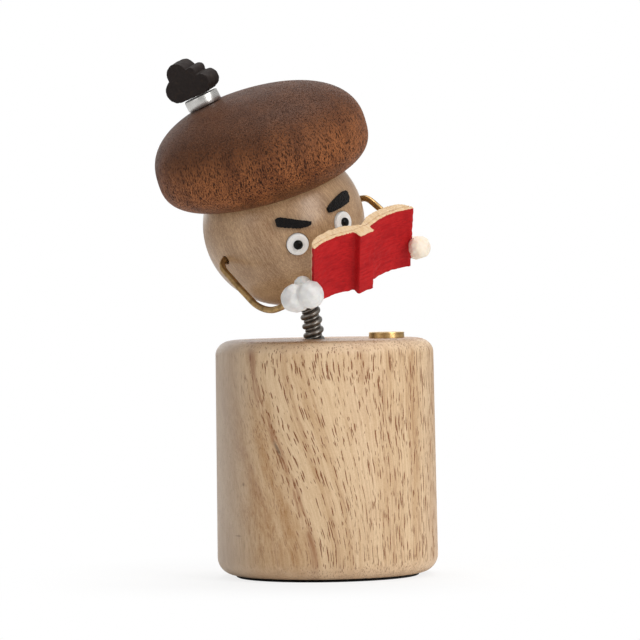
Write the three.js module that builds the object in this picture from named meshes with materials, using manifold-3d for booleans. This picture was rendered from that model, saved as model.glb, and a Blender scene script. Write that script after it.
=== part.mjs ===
// A wooden crank automaton: a reading figure on a bendable neck above a turned base.
// Millimetres, +Z up. The origin is the middle of the underside and the figure looks along -Y.
// A crank at the back turns the head through a friction wheel, and a gear pair turns the brass disc.
import * as THREE from 'three';
import { mergeVertices } from 'three/addons/utils/BufferGeometryUtils.js';
import Module from 'manifold-3d';

const wasm = await Module();
wasm.setup();

// Gaps shared by all pieces
const SEAT_GAP = 0.3;
const RUNNING_GAP = 0.3;
const CUT_OVERRUN = 1;
const MERGE_TOLERANCE = 0.0001;

// Turned base with its chamber
const BASE_HEIGHT = 70;
const BASE_TOP_RADIUS = 32.2;
const BASE_FOOT_RADIUS = 32.6;
const TOP_EDGE_WIDTH = 5.2;
const TOP_EDGE_HEIGHT = 4.2;
const FOOT_EDGE_WIDTH = 5.4;
const FOOT_EDGE_HEIGHT = 5.2;
const TOP_PLATE_THICKNESS = 12;
const CHAMBER_RADIUS = 24.2;
const BOSS_RADIUS = 4.2;
const BOSS_CIRCLE_RADIUS = 23;
const BOSS_ANGLES = [50, 170, 290];

// Bottom cover, its screws and the felt pad
const PAD_RADIUS = 27;
const PAD_THICKNESS = 0.8;
const COVER_RADIUS = 26.1;
const COVER_THICKNESS = 4;
const SCREW_SHANK_RADIUS = 1.1;
const SCREW_HEAD_RADIUS = 2.1;
const SCREW_HEAD_HEIGHT = 1.3;
const SCREW_LENGTH = 12;
const SCREW_POINT_LENGTH = 2;
const SCREW_HEAD_SINK = 0.3;

// Brass disc on the top, with its stem, bush and pinion
const STAGE_X = 18.45;
const STAGE_DISC_RADIUS = 5.25;
const STAGE_DISC_THICKNESS = 1.75;
const STAGE_DISC_CHAMFER = 0.35;
const STAGE_RECESS_CLEARANCE = 0.4;
const STAGE_STEM_RADIUS = 1.8;
const STAGE_STEM_TAIL = 2;
const STAGE_BUSH_WALL = 1.7;
const BUSH_FLANGE_WIDTH = 2;
const BUSH_FLANGE_THICKNESS = 1.4;
const BUSH_TOP_SINK = 0.6;

// Gear pair between the head's spindle and the brass disc
const GEAR_MODULE = 1;
const SPINDLE_TEETH = 28;
const STAGE_TEETH = 14;
const GEAR_CENTRE_CLEARANCE = 0.25;
const GEAR_THICKNESS = 4.5;
const PINION_FACE_MARGIN = 0.3;
const TOOTH_BACKLASH = 0.2;
const TOOTH_TIP_CLEARANCE = 0.25;
const PRESSURE_ANGLE = 20;
const GEAR_POCKET_CLEARANCE = 0.6;

// Friction drive from the crank shaft to the spindle
const CRANK_AXIS_DROP = 36;
const DRIVE_WHEEL_RADIUS = 10;
const WHEEL_CONTACT_RADIUS = 10;
const WHEEL_THICKNESS = 4;
const WHEEL_HUB_RADIUS = 4.2;
const WHEEL_HUB_LENGTH = 2.5;
const TYRE_SECTION_RADIUS = 1.2;
const TYRE_GROOVE_DEPTH = 1.1;
const FRICTION_DISC_RADIUS = 12.2;
const FRICTION_DISC_THICKNESS = 3;

// Spindle, collar, ferrule and upper bush
const SPINDLE_RADIUS = 2;
const SPINDLE_TAIL = 3;
const COLLAR_RADIUS = 6.2;
const FERRULE_RADIUS = 4;
const FERRULE_CUP_DEPTH = 5;
const FERRULE_GRIP_LENGTH = 3.2;
const SPINDLE_BUSH_WALL = 1.2;
const SPINDLE_BUSH_LENGTH = 8;

// Crank shaft, bush, arm, screws and knob at the back
const SHAFT_RADIUS = 2;
const SHAFT_BLIND_DEPTH = 3.6;
const SHAFT_COLLAR_RADIUS = 4.5;
const SHAFT_COLLAR_LENGTH = 3;
const CRANK_BUSH_WALL = 1.7;
const CRANK_BUSH_SINK = 1.2;
const BUSH_SPOT_DEPTH = 1.6;
const CRANK_ARM_GAP = 0.6;
const CRANK_ARM_LENGTH = 16;
const CRANK_ARM_THICKNESS = 4;
const CRANK_HUB_RADIUS = 6;
const CRANK_EYE_RADIUS = 5;
const CRANK_SCREW_SHANK_RADIUS = 1;
const CRANK_SCREW_SHANK_LENGTH = 8;
const CRANK_SCREW_HEAD_RADIUS = 3.2;
const CRANK_SCREW_HEAD_HEIGHT = 1.8;
const KNOB_LENGTH = 15.5;
const KNOB_END_RADIUS = 3.9;
const KNOB_BELLY_RADIUS = 5.6;
const KNOB_PIN_RADIUS = 1.5;
const KNOB_PIN_HEAD_RADIUS = 2.7;
const KNOB_PIN_HEAD_HEIGHT = 1.4;

// Bendable neck: a thick round wire and a thinner wire wound into its valleys
const NECK_ARC_LENGTH = 16.05;
const NECK_HOLE_CLEARANCE = 1;
const COIL_OUTER_RADIUS = 3.15;
const COIL_WIRE_RADIUS = 0.87;
const COIL_PITCH = 2.84;
const COIL_CURLS = 8;
const WEDGE_WIRE_RADIUS = 0.38;
const WEDGE_CENTRE_RADIUS = 1.68;
const STEPS_PER_CURL = 8;
const COIL_SIDES = 5;

// Head, and how it leans and looks
const HEAD_RADIUS = 23.8;
const HEAD_LEAN = 20.3;
const HEAD_LEAN_DIRECTION = -140;
const HEAD_YAW = 28;

// Hat, as a turned cushion round the head's axis
const HAT_RADIUS = 31.75;
const HAT_RIM_HEIGHT = 23.3;
const HAT_CROWN_HEIGHT = 17.3;
const HAT_UNDER_DEPTH = 13.3;
const HAT_CROWN_POWER = 2.35;
const HAT_UNDER_POWER = 2.97;
const DOWEL_RADIUS = 3;
const DOWEL_LENGTH = 15;

// Magnet, cloud and their seat on the hat
const MAGNET_CIRCLE_RADIUS = 14.4;
const MAGNET_DIRECTION = -150;
const MAGNET_RADIUS = 5.2;
const MAGNET_HEIGHT = 3.3;
const MAGNET_CHAMFER = 0.25;
const MAGNET_SEAT_DEPTH = 0.35;
const HAT_SCREW_LENGTH = 10;
const CLOUD_PIN_RADIUS = 1;
const CLOUD_PIN_DEPTH = 3;
const CLOUD_WIDTH = 16;
const CLOUD_HEIGHT = 11.35;
const CLOUD_OFFSET = -0.85;
const CLOUD_THICKNESS = 6;
const CLOUD_TURN = -59;

// Eyes and eyebrows on the head, placed by turn from the front and by height in degrees
const EYE_RADIUS = 3.2;
const EYE_THICKNESS = 1.3;
const EYE_PROUD = 0.7;
const EYE_DOME = 0.35;
const PUPIL_RADIUS = 1.3;
const PUPIL_THICKNESS = 0.75;
const EYE_PLACES = {
  left: { turn: -20.6, rise: -3.8 },
  right: { turn: 18.2, rise: -1.8 },
};
const BROW_THICKNESS = 1;
// Stations along each eyebrow from its outer to its inner end: turn, lower and upper height
const BROW_STATIONS = {
  left: [
    [-31, 12.4, 18],
    [-27.5, 11.5, 17.2],
    [-22, 9.7, 15.4],
    [-16.5, 7, 13.5],
    [-12, 6.3, 11.4],
    [-8.9, 6.1, 9.6],
    [-6.8, 7.6, 8.8],
  ],
  right: [
    [32.8, 13.4, 15.8],
    [31, 10.9, 16.7],
    [27.5, 9.4, 17],
    [22.5, 9, 16.4],
    [17.5, 8.9, 15.5],
    [12.8, 8.6, 14],
    [9.4, 8.8, 12.5],
    [6.8, 9.4, 10.6],
  ],
};

// Open book in front of the face
const BOOK_WIDTH = 34.9;
const BOOK_HEIGHT = 20.7;
const BOOK_OFFSET = 0.45;
const BOOK_REACH = 43.15;
const BOOK_DROP = 7.5;
const BOOK_PITCH = 28.2;
const BOOK_SWING = 2.3;
const BOOK_TILT = 2.2;
const COVER_BOARD = 1.2;
const SPINE_WIDTH = 5.2;
const SPINE_PROUD = 2.4;
const SPINE_OFFSET = -0.75;
const PAGE_DEPTH = 5;
const PAGE_MARGIN = 0.3;

// Wire arms: out of the head's sides, forward and down, and up into the hands
const ARM_WIRE_RADIUS = 0.95;
const ARM_HOLE_DEPTH = 5;
// Each arm's hole in the head, and its way as shares of the arm's spread, reach and drop
const LEFT_ARM = {
  turn: -80.2,
  rise: -5.3,
  wayShares: [
    [-0.96, 0.15, 0.24],
    [-0.98, 0.27, 0.43],
    [-0.99, 0.43, 0.7],
    [-0.985, 0.56, 0.92],
    [-0.965, 0.74, 0.99],
    [-0.91, 0.9, 0.9],
  ],
};
const RIGHT_ARM = {
  turn: 81.6,
  rise: -2.3,
  wayShares: [
    [0.955, 0.15, 0.08],
    [0.98, 0.26, 0.27],
    [1, 0.43, 0.62],
    [0.99, 0.56, 0.9],
    [0.965, 0.74, 1],
    [0.91, 0.9, 0.9],
  ],
};
const ARM_CLEARANCE = 3;
const ARM_REACH = 39.5;
const ARM_DROP = 14.8;
const ARM_STEPS = 22;
const ARM_SIDES = 8;

// Hands: lobes measured from the middle of the book, along its width, out from its face and up
const LEFT_HAND = {
  palm: { side: -23.4, out: -1.1, up: -5.3, radius: 4.2 },
  fingers: { side: -20.7, out: 2.4, up: -2.8, radius: 4.1 },
  thumb: { side: -18.6, out: -4, up: -4, radius: 2.5 },
};
const RIGHT_HAND = {
  palm: { side: 19.6, out: -1.8, up: -6, radius: 3.5 },
  fingers: { side: 18.1, out: 2.4, up: -2.5, radius: 3.4 },
  thumb: { side: 17.4, out: -4.4, up: -5, radius: 2.4 },
};

// How finely round shapes are cut
const FINE_SEGMENTS = 48;
const MEDIUM_SEGMENTS = 24;
const SMALL_SEGMENTS = 16;
const ARC_SEGMENTS = 8;
const EDGE_STEPS = 4;
const HEAD_ROWS = 16;
const HAT_SEAT_ROWS = 10;
const HAT_STEPS = 8;
const FLANK_STEPS = 3;
const HAND_DETAIL = 1;

// Colours with their roughness and metalness
const finishes = {
  ash: { color: 0xd3ac80, roughness: 0.55, metalness: 0 },
  beech: { color: 0xb98d5f, roughness: 0.5, metalness: 0 },
  walnut: { color: 0x6b3a22, roughness: 0.55, metalness: 0 },
  plywood: { color: 0xc9a274, roughness: 0.7, metalness: 0 },
  felt: { color: 0x2a2522, roughness: 1, metalness: 0 },
  brass: { color: 0xb08a3c, roughness: 0.3, metalness: 1 },
  steel: { color: 0x77746e, roughness: 0.35, metalness: 1 },
  nickel: { color: 0xb9b6b0, roughness: 0.3, metalness: 1 },
  rubber: { color: 0x1c1c1c, roughness: 0.8, metalness: 0 },
  black: { color: 0x14110f, roughness: 0.85, metalness: 0 },
  white: { color: 0xf2f0ec, roughness: 0.45, metalness: 0 },
  red: { color: 0xb22628, roughness: 0.6, metalness: 0 },
  cream: { color: 0xe8cdaa, roughness: 0.7, metalness: 0 },
};

// Places worked out from the sizes above
const gearDistance = GEAR_MODULE * (SPINDLE_TEETH + STAGE_TEETH) / 2 + GEAR_CENTRE_CLEARANCE;
const spindleX = STAGE_X - gearDistance;
const ceilingZ = BASE_HEIGHT - TOP_PLATE_THICKNESS;
const crankAxisZ = BASE_HEIGHT - CRANK_AXIS_DROP;
const coverTopZ = PAD_THICKNESS + COVER_THICKNESS;
const frictionDiscZ = crankAxisZ + DRIVE_WHEEL_RADIUS + RUNNING_GAP;
const gearZ = frictionDiscZ + FRICTION_DISC_THICKNESS;
const collarZ = gearZ + GEAR_THICKNESS;
const ferruleZ = ceilingZ - BUSH_FLANGE_THICKNESS - RUNNING_GAP;
const ferruleTopZ = ceilingZ + SPINDLE_BUSH_LENGTH;
const cupFloorZ = ferruleTopZ - FERRULE_CUP_DEPTH;
const neckHead = neckPlace(NECK_ARC_LENGTH);
const armSpread = HEAD_RADIUS + ARM_CLEARANCE;
const headCentre = neckHead.point.clone().addScaledVector(neckHead.along, HEAD_RADIUS);

function radians(degrees) {
  return THREE.MathUtils.degToRad(degrees);
}

// The geometry as one closed surface: shared corners merged, empty faces left out, faces outward
function closed(geometry) {
  const bare = geometry.clone();
  bare.deleteAttribute('normal');
  bare.deleteAttribute('uv');
  const merged = mergeVertices(bare, MERGE_TOLERANCE);
  const index = merged.index.array;
  const kept = [];
  for (let i = 0; i < index.length; i += 3) {
    const [a, b, c] = [index[i], index[i + 1], index[i + 2]];
    if (a !== b && b !== c && c !== a) kept.push(a, b, c);
  }
  merged.setIndex(kept);
  if (signedVolume(merged) < 0) kept.reverse();
  merged.setIndex(kept);
  merged.computeVertexNormals();
  return merged;
}

function signedVolume(geometry) {
  const index = geometry.index.array;
  const corner = [new THREE.Vector3(), new THREE.Vector3(), new THREE.Vector3()];
  let total = 0;
  for (let i = 0; i < index.length; i += 3) {
    corner.forEach((point, k) => point.fromBufferAttribute(geometry.attributes.position, index[i + k]));
    total += corner[0].dot(corner[1].clone().cross(corner[2])) / 6;
  }
  return total;
}

function toSolid(geometry) {
  const tidy = closed(geometry);
  return new wasm.Manifold(new wasm.Mesh({
    numProp: 3,
    vertProperties: new Float32Array(tidy.attributes.position.array),
    triVerts: new Uint32Array(tidy.index.array),
  }));
}

function fromSolid(solid) {
  const mesh = solid.getMesh();
  const geometry = new THREE.BufferGeometry();
  geometry.setAttribute('position', new THREE.BufferAttribute(new Float32Array(mesh.vertProperties), 3));
  geometry.setIndex(new THREE.BufferAttribute(new Uint32Array(mesh.triVerts), 1));
  geometry.computeVertexNormals();
  return geometry;
}

function cut(geometry, ...tools) {
  return fromSolid(tools.reduce((rest, tool) => rest.subtract(toSolid(tool)), toSolid(geometry)));
}

function join(first, ...others) {
  return fromSolid(others.reduce((sum, other) => sum.add(toSolid(other)), toSolid(first)));
}

// A shape turned round the Z axis from [radius, height] pairs that start and end on the axis
function turned(pairs, segments) {
  const points = pairs.map(([radius, height]) => new THREE.Vector2(radius, height));
  return closed(new THREE.LatheGeometry(points, segments).rotateX(Math.PI / 2));
}

function rod(radius, low, high, segments = SMALL_SEGMENTS) {
  return turned([[0, low], [radius, low], [radius, high], [0, high]], segments);
}

function ring(inner, outer, low, high, segments = MEDIUM_SEGMENTS) {
  return turned([[inner, low], [outer, low], [outer, high], [inner, high], [inner, low]], segments);
}

// A sleeve with a flange at its low end
function flangedBush(inner, outer, flange, low, high, flangeThickness) {
  return turned([
    [inner, low - flangeThickness],
    [flange, low - flangeThickness],
    [flange, low],
    [outer, low],
    [outer, high],
    [inner, high],
    [inner, low - flangeThickness],
  ], MEDIUM_SEGMENTS);
}

function piece(name, geometry, finish) {
  const mesh = new THREE.Mesh(geometry, new THREE.MeshStandardMaterial(finishes[finish]));
  mesh.name = name;
  return mesh;
}

function group(...members) {
  const all = new THREE.Group();
  all.add(...members);
  return all;
}

// A quarter of a rounded edge as [radius, height] pairs, from the first angle to the last
function roundedEdge(centreRadius, centreHeight, width, height, from, to) {
  return Array.from({ length: EDGE_STEPS + 1 }, (_, k) => {
    const angle = radians(from + (to - from) * k / EDGE_STEPS);
    return [centreRadius + width * Math.cos(angle), centreHeight + height * Math.sin(angle)];
  });
}

function bossPlace(angle) {
  return [BOSS_CIRCLE_RADIUS * Math.cos(radians(angle)), BOSS_CIRCLE_RADIUS * Math.sin(radians(angle))];
}

// Turned block: outer body less its chamber, cover recess, pinion pocket and shaft holes
function baseBlock() {
  const foot = PAD_THICKNESS;
  const body = turned([
    [0, foot],
    ...roundedEdge(
      BASE_FOOT_RADIUS - FOOT_EDGE_WIDTH, foot + FOOT_EDGE_HEIGHT,
      FOOT_EDGE_WIDTH, FOOT_EDGE_HEIGHT, -90, 0,
    ),
    ...roundedEdge(
      BASE_TOP_RADIUS - TOP_EDGE_WIDTH, BASE_HEIGHT - TOP_EDGE_HEIGHT,
      TOP_EDGE_WIDTH, TOP_EDGE_HEIGHT, 0, 90,
    ),
    [0, BASE_HEIGHT],
  ], FINE_SEGMENTS);
  const pocketRadius = pinionOuterRadius() + GEAR_POCKET_CLEARANCE;
  const hollow = join(
    cut(rod(CHAMBER_RADIUS, coverTopZ, ceilingZ, FINE_SEGMENTS), ...BOSS_ANGLES.map(bossColumn)),
    rod(COVER_RADIUS + SEAT_GAP, foot - CUT_OVERRUN, coverTopZ, FINE_SEGMENTS),
    rod(pocketRadius, coverTopZ, ceilingZ, MEDIUM_SEGMENTS).translate(STAGE_X, 0, 0),
    rod(spindleBushRadius() + SEAT_GAP, ceilingZ - CUT_OVERRUN, ferruleTopZ + SEAT_GAP, MEDIUM_SEGMENTS)
      .translate(spindleX, 0, 0),
    rod(COIL_OUTER_RADIUS + NECK_HOLE_CLEARANCE, ceilingZ, BASE_HEIGHT + CUT_OVERRUN, MEDIUM_SEGMENTS)
      .translate(spindleX, 0, 0),
    rod(stageBushRadius() + SEAT_GAP, ceilingZ - CUT_OVERRUN, BASE_HEIGHT + CUT_OVERRUN, MEDIUM_SEGMENTS)
      .translate(STAGE_X, 0, 0),
    ...BOSS_ANGLES.map(pilotHole),
  );
  return cut(body, hollow, stageRecess(), shaftHole(), crankBushHole(), crankBushSpot());
}

// Shallow seat in the top for the brass disc, one running gap deep
function stageRecess() {
  const radius = STAGE_DISC_RADIUS + STAGE_RECESS_CLEARANCE;
  return rod(radius, BASE_HEIGHT - RUNNING_GAP, BASE_HEIGHT + CUT_OVERRUN, MEDIUM_SEGMENTS)
    .translate(STAGE_X, 0, 0);
}

function bossColumn(angle) {
  const [x, y] = bossPlace(angle);
  return rod(BOSS_RADIUS, coverTopZ - CUT_OVERRUN, ceilingZ + CUT_OVERRUN).translate(x, y, 0);
}

function pilotHole(angle) {
  const [x, y] = bossPlace(angle);
  const top = PAD_THICKNESS + SCREW_LENGTH + CUT_OVERRUN;
  return rod(SCREW_SHANK_RADIUS + SEAT_GAP, coverTopZ - CUT_OVERRUN, top).translate(x, y, 0);
}

// Lays a shape made along Z on the crank's axis, which runs along +Y
function onCrankAxis(geometry) {
  return geometry.rotateX(-Math.PI / 2).translate(spindleX, 0, crankAxisZ);
}

function shaftHole() {
  const blindEnd = -(CHAMBER_RADIUS + SHAFT_BLIND_DEPTH);
  return onCrankAxis(rod(SHAFT_RADIUS + RUNNING_GAP, blindEnd, 0));
}

function crankBushHole() {
  const outer = crankBushRadius() + SEAT_GAP;
  return onCrankAxis(rod(outer, crankBushInnerY() - CUT_OVERRUN, BASE_FOOT_RADIUS, MEDIUM_SEGMENTS));
}

function crankBushSpot() {
  const flange = crankBushRadius() + BUSH_FLANGE_WIDTH + SEAT_GAP;
  return onCrankAxis(rod(flange, crankSpotY(), BASE_FOOT_RADIUS + CUT_OVERRUN, MEDIUM_SEGMENTS));
}

// Depth of the block's back surface along Y, at the crank's axis
function backSurfaceY() {
  return Math.sqrt(BASE_TOP_RADIUS ** 2 - spindleX ** 2);
}

function crankSpotY() {
  return backSurfaceY() - BUSH_SPOT_DEPTH;
}

function crankFlangeY() {
  return crankSpotY() + SEAT_GAP + BUSH_FLANGE_THICKNESS;
}

function crankArmY() {
  return crankFlangeY() + CRANK_ARM_GAP;
}

function spindleBushRadius() {
  return FERRULE_RADIUS + RUNNING_GAP + SPINDLE_BUSH_WALL;
}

function stageBushRadius() {
  return STAGE_STEM_RADIUS + RUNNING_GAP + STAGE_BUSH_WALL;
}

function crankBushRadius() {
  return SHAFT_RADIUS + RUNNING_GAP + CRANK_BUSH_WALL;
}

function baseCover() {
  const plate = rod(COVER_RADIUS, PAD_THICKNESS, coverTopZ, FINE_SEGMENTS);
  return cut(plate, ...BOSS_ANGLES.map(screwHole));
}

// Clearance hole with a countersink that opens downward
function screwHole(angle) {
  const [x, y] = bossPlace(angle);
  const shank = SCREW_SHANK_RADIUS + SEAT_GAP;
  const sinkTop = PAD_THICKNESS + SCREW_HEAD_SINK + SCREW_HEAD_HEIGHT + SEAT_GAP;
  return turned([
    [0, PAD_THICKNESS - CUT_OVERRUN],
    [SCREW_HEAD_RADIUS + SEAT_GAP, PAD_THICKNESS - CUT_OVERRUN],
    [SCREW_HEAD_RADIUS + SEAT_GAP, PAD_THICKNESS + SCREW_HEAD_SINK],
    [shank, sinkTop],
    [shank, coverTopZ + CUT_OVERRUN],
    [0, coverTopZ + CUT_OVERRUN],
  ], SMALL_SEGMENTS).translate(x, y, 0);
}

// A countersunk screw that points up from the given height
function countersunkScrew(low, headRadius, length) {
  const neck = low + SCREW_HEAD_HEIGHT;
  return turned([
    [0, low],
    [headRadius, low],
    [SCREW_SHANK_RADIUS, neck],
    [SCREW_SHANK_RADIUS, low + length - SCREW_POINT_LENGTH],
    [0, low + length],
  ], SMALL_SEGMENTS);
}

function coverScrew(angle) {
  const [x, y] = bossPlace(angle);
  const low = PAD_THICKNESS + SCREW_HEAD_SINK;
  return countersunkScrew(low, SCREW_HEAD_RADIUS, SCREW_LENGTH - SCREW_HEAD_SINK).translate(x, y, 0);
}

function spindleBush() {
  const outer = spindleBushRadius();
  return flangedBush(
    FERRULE_RADIUS + RUNNING_GAP, outer, outer + BUSH_FLANGE_WIDTH,
    ceilingZ, ferruleTopZ, BUSH_FLANGE_THICKNESS,
  );
}

function stageBush() {
  const outer = stageBushRadius();
  return flangedBush(
    STAGE_STEM_RADIUS + RUNNING_GAP, outer, outer + BUSH_FLANGE_WIDTH,
    ceilingZ, BASE_HEIGHT - BUSH_TOP_SINK, BUSH_FLANGE_THICKNESS,
  );
}

function crankBushInnerY() {
  return CHAMBER_RADIUS - CRANK_BUSH_SINK;
}

// The rear bush stands on its flange outside the block, so its sleeve points to -Y
function crankBush() {
  const outer = crankBushRadius();
  const sleeve = crankSpotY() + SEAT_GAP - crankBushInnerY();
  return flangedBush(
    SHAFT_RADIUS + RUNNING_GAP, outer, outer + BUSH_FLANGE_WIDTH,
    0, sleeve, BUSH_FLANGE_THICKNESS,
  ).rotateX(Math.PI / 2).translate(spindleX, crankSpotY() + SEAT_GAP, crankAxisZ);
}

function pinionOuterRadius() {
  return GEAR_MODULE * (STAGE_TEETH / 2 + 1) - TOOTH_TIP_CLEARANCE;
}

function involute(angle) {
  return Math.tan(angle) - angle;
}

// Outline of a spur gear with a tooth's middle at the given angle
function gearShape(teeth, startAngle) {
  const pitch = GEAR_MODULE * teeth / 2;
  const base = pitch * Math.cos(radians(PRESSURE_ANGLE));
  const outer = pitch + GEAR_MODULE - TOOTH_TIP_CLEARANCE;
  const root = pitch - GEAR_MODULE - TOOTH_TIP_CLEARANCE;
  const half = (Math.PI * GEAR_MODULE / 2 - TOOTH_BACKLASH) / 2 / pitch;
  const flankStart = Math.max(base, root);
  const flank = Array.from({ length: FLANK_STEPS }, (_, k) => {
    const radius = flankStart + (outer - flankStart) * k / (FLANK_STEPS - 1);
    const offset = half + involute(radians(PRESSURE_ANGLE)) - involute(Math.acos(base / radius));
    return [radius, offset];
  });
  const tooth = [
    [root, -flank[0][1]],
    ...flank.map(([radius, offset]) => [radius, -offset]),
    ...flank.toReversed(),
    [root, flank[0][1]],
  ];
  const points = [];
  for (let n = 0; n < teeth; n += 1) {
    const middle = startAngle + 2 * Math.PI * n / teeth;
    for (const [radius, offset] of tooth) {
      const angle = middle + offset;
      points.push(new THREE.Vector2(radius * Math.cos(angle), radius * Math.sin(angle)));
    }
  }
  return new THREE.Shape(points);
}

function extruded(shape, depth) {
  const settings = { depth, bevelEnabled: false, curveSegments: ARC_SEGMENTS };
  return closed(new THREE.ExtrudeGeometry(shape, settings));
}

function boredGear(teeth, startAngle, bore, low, high) {
  const shape = gearShape(teeth, startAngle);
  shape.holes.push(new THREE.Path().absarc(0, 0, bore, 0, 2 * Math.PI, true));
  return extruded(shape, high - low).translate(0, 0, low);
}

function spindleGear() {
  return boredGear(SPINDLE_TEETH, 0, SPINDLE_RADIUS + SEAT_GAP, gearZ, collarZ);
}

// The pinion has a gap, not a tooth, towards the larger gear, and a hub up to its bush
function stagePinion() {
  const bore = STAGE_STEM_RADIUS + SEAT_GAP;
  const low = gearZ + PINION_FACE_MARGIN;
  const high = collarZ - PINION_FACE_MARGIN;
  const hubTop = ceilingZ - BUSH_FLANGE_THICKNESS - RUNNING_GAP;
  const halfPitch = Math.PI / STAGE_TEETH;
  const toothTowards = STAGE_TEETH % 2 ? 0 : halfPitch;
  return join(
    boredGear(STAGE_TEETH, toothTowards, bore, low, high),
    ring(bore, stageBushRadius(), high - PINION_FACE_MARGIN, hubTop, SMALL_SEGMENTS),
  );
}

// Brass disc and its stem in one turned piece
function stageDisc() {
  const low = BASE_HEIGHT;
  const high = low + STAGE_DISC_THICKNESS;
  return turned([
    [0, gearZ - STAGE_STEM_TAIL],
    [STAGE_STEM_RADIUS, gearZ - STAGE_STEM_TAIL],
    [STAGE_STEM_RADIUS, low],
    [STAGE_DISC_RADIUS, low],
    [STAGE_DISC_RADIUS, high - STAGE_DISC_CHAMFER],
    [STAGE_DISC_RADIUS - STAGE_DISC_CHAMFER, high],
    [0, high],
  ], MEDIUM_SEGMENTS);
}

function neckSpindle() {
  const high = ferruleZ + FERRULE_GRIP_LENGTH;
  return rod(SPINDLE_RADIUS, frictionDiscZ - SPINDLE_TAIL, high);
}

function frictionDisc() {
  const bore = SPINDLE_RADIUS + SEAT_GAP;
  return ring(bore, FRICTION_DISC_RADIUS, frictionDiscZ, frictionDiscZ + FRICTION_DISC_THICKNESS);
}

function spindleCollar() {
  return ring(SPINDLE_RADIUS + SEAT_GAP, COLLAR_RADIUS, collarZ, ferruleZ, SMALL_SEGMENTS);
}

// Ferrule: a bore below for the spindle, a closed web, and a cup above for the neck
function neckFerrule() {
  const bore = SPINDLE_RADIUS + SEAT_GAP;
  const cup = COIL_OUTER_RADIUS + SEAT_GAP;
  const boreTop = ferruleZ + FERRULE_GRIP_LENGTH + SEAT_GAP;
  return turned([
    [0, boreTop],
    [bore, boreTop],
    [bore, ferruleZ],
    [FERRULE_RADIUS, ferruleZ],
    [FERRULE_RADIUS, ferruleTopZ],
    [cup, ferruleTopZ],
    [cup, cupFloorZ],
    [0, cupFloorZ],
  ], MEDIUM_SEGMENTS);
}

// Crank pieces are made along Z from the spindle's plane, and turned onto the crank's axis together
function crankShaft() {
  const blindEnd = -(CHAMBER_RADIUS + SHAFT_BLIND_DEPTH - SEAT_GAP);
  const end = crankArmY() + CRANK_ARM_THICKNESS;
  const boreLow = end - CRANK_SCREW_SHANK_LENGTH - SEAT_GAP;
  const bore = rod(CRANK_SCREW_SHANK_RADIUS + SEAT_GAP, boreLow, end + CUT_OVERRUN);
  return cut(rod(SHAFT_RADIUS, blindEnd, end), bore);
}

function shaftCollar() {
  const high = crankBushInnerY() - RUNNING_GAP;
  const bore = SHAFT_RADIUS + SEAT_GAP;
  return ring(bore, SHAFT_COLLAR_RADIUS, high - SHAFT_COLLAR_LENGTH, high, SMALL_SEGMENTS);
}

function driveWheel() {
  const bore = SHAFT_RADIUS + SEAT_GAP;
  const low = WHEEL_CONTACT_RADIUS - WHEEL_THICKNESS / 2;
  const high = low + WHEEL_THICKNESS;
  const rim = DRIVE_WHEEL_RADIUS - TYRE_SECTION_RADIUS;
  const grooveHalf = TYRE_SECTION_RADIUS + SEAT_GAP;
  return turned([
    [bore, low],
    [rim, low],
    [rim, WHEEL_CONTACT_RADIUS - grooveHalf],
    [rim - TYRE_GROOVE_DEPTH - SEAT_GAP, WHEEL_CONTACT_RADIUS - grooveHalf / 2],
    [rim - TYRE_GROOVE_DEPTH - SEAT_GAP, WHEEL_CONTACT_RADIUS + grooveHalf / 2],
    [rim, WHEEL_CONTACT_RADIUS + grooveHalf],
    [rim, high],
    [WHEEL_HUB_RADIUS, high],
    [WHEEL_HUB_RADIUS, high + WHEEL_HUB_LENGTH],
    [bore, high + WHEEL_HUB_LENGTH],
    [bore, low],
  ], MEDIUM_SEGMENTS);
}

function wheelTyre() {
  const centre = DRIVE_WHEEL_RADIUS - TYRE_SECTION_RADIUS;
  const sides = STEPS_PER_CURL;
  const pairs = Array.from({ length: sides + 1 }, (_, k) => {
    const angle = 2 * Math.PI * (k % sides) / sides;
    const radius = centre + TYRE_SECTION_RADIUS * Math.cos(angle);
    return [radius, WHEEL_CONTACT_RADIUS + TYRE_SECTION_RADIUS * Math.sin(angle)];
  });
  return turned(pairs, MEDIUM_SEGMENTS);
}

// Crank arm: two round ends and their tangents, with a hole for the shaft and one for the pin
function crankArm() {
  const tilt = Math.asin((CRANK_HUB_RADIUS - CRANK_EYE_RADIUS) / CRANK_ARM_LENGTH);
  const shape = new THREE.Shape();
  shape.absarc(0, 0, CRANK_HUB_RADIUS, Math.PI - tilt, 2 * Math.PI + tilt, false);
  shape.absarc(0, CRANK_ARM_LENGTH, CRANK_EYE_RADIUS, tilt, Math.PI - tilt, false);
  shape.holes.push(new THREE.Path().absarc(0, 0, SHAFT_RADIUS + SEAT_GAP, 0, 2 * Math.PI, true));
  const eye = KNOB_PIN_RADIUS + SEAT_GAP;
  shape.holes.push(new THREE.Path().absarc(0, CRANK_ARM_LENGTH, eye, 0, 2 * Math.PI, true));
  return extruded(shape, CRANK_ARM_THICKNESS).translate(0, 0, crankArmY());
}

function crankScrew() {
  const face = crankArmY() + CRANK_ARM_THICKNESS + SEAT_GAP;
  const domeShare = 0.55;
  return turned([
    [0, face - CRANK_SCREW_SHANK_LENGTH],
    [CRANK_SCREW_SHANK_RADIUS, face - CRANK_SCREW_SHANK_LENGTH],
    [CRANK_SCREW_SHANK_RADIUS, face],
    [CRANK_SCREW_HEAD_RADIUS, face],
    [CRANK_SCREW_HEAD_RADIUS, face + CRANK_SCREW_HEAD_HEIGHT * domeShare],
    [CRANK_SCREW_HEAD_RADIUS * domeShare, face + CRANK_SCREW_HEAD_HEIGHT],
    [0, face + CRANK_SCREW_HEAD_HEIGHT],
  ], SMALL_SEGMENTS);
}

function knobLow() {
  return crankArmY() + CRANK_ARM_THICKNESS + CRANK_ARM_GAP;
}

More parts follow.
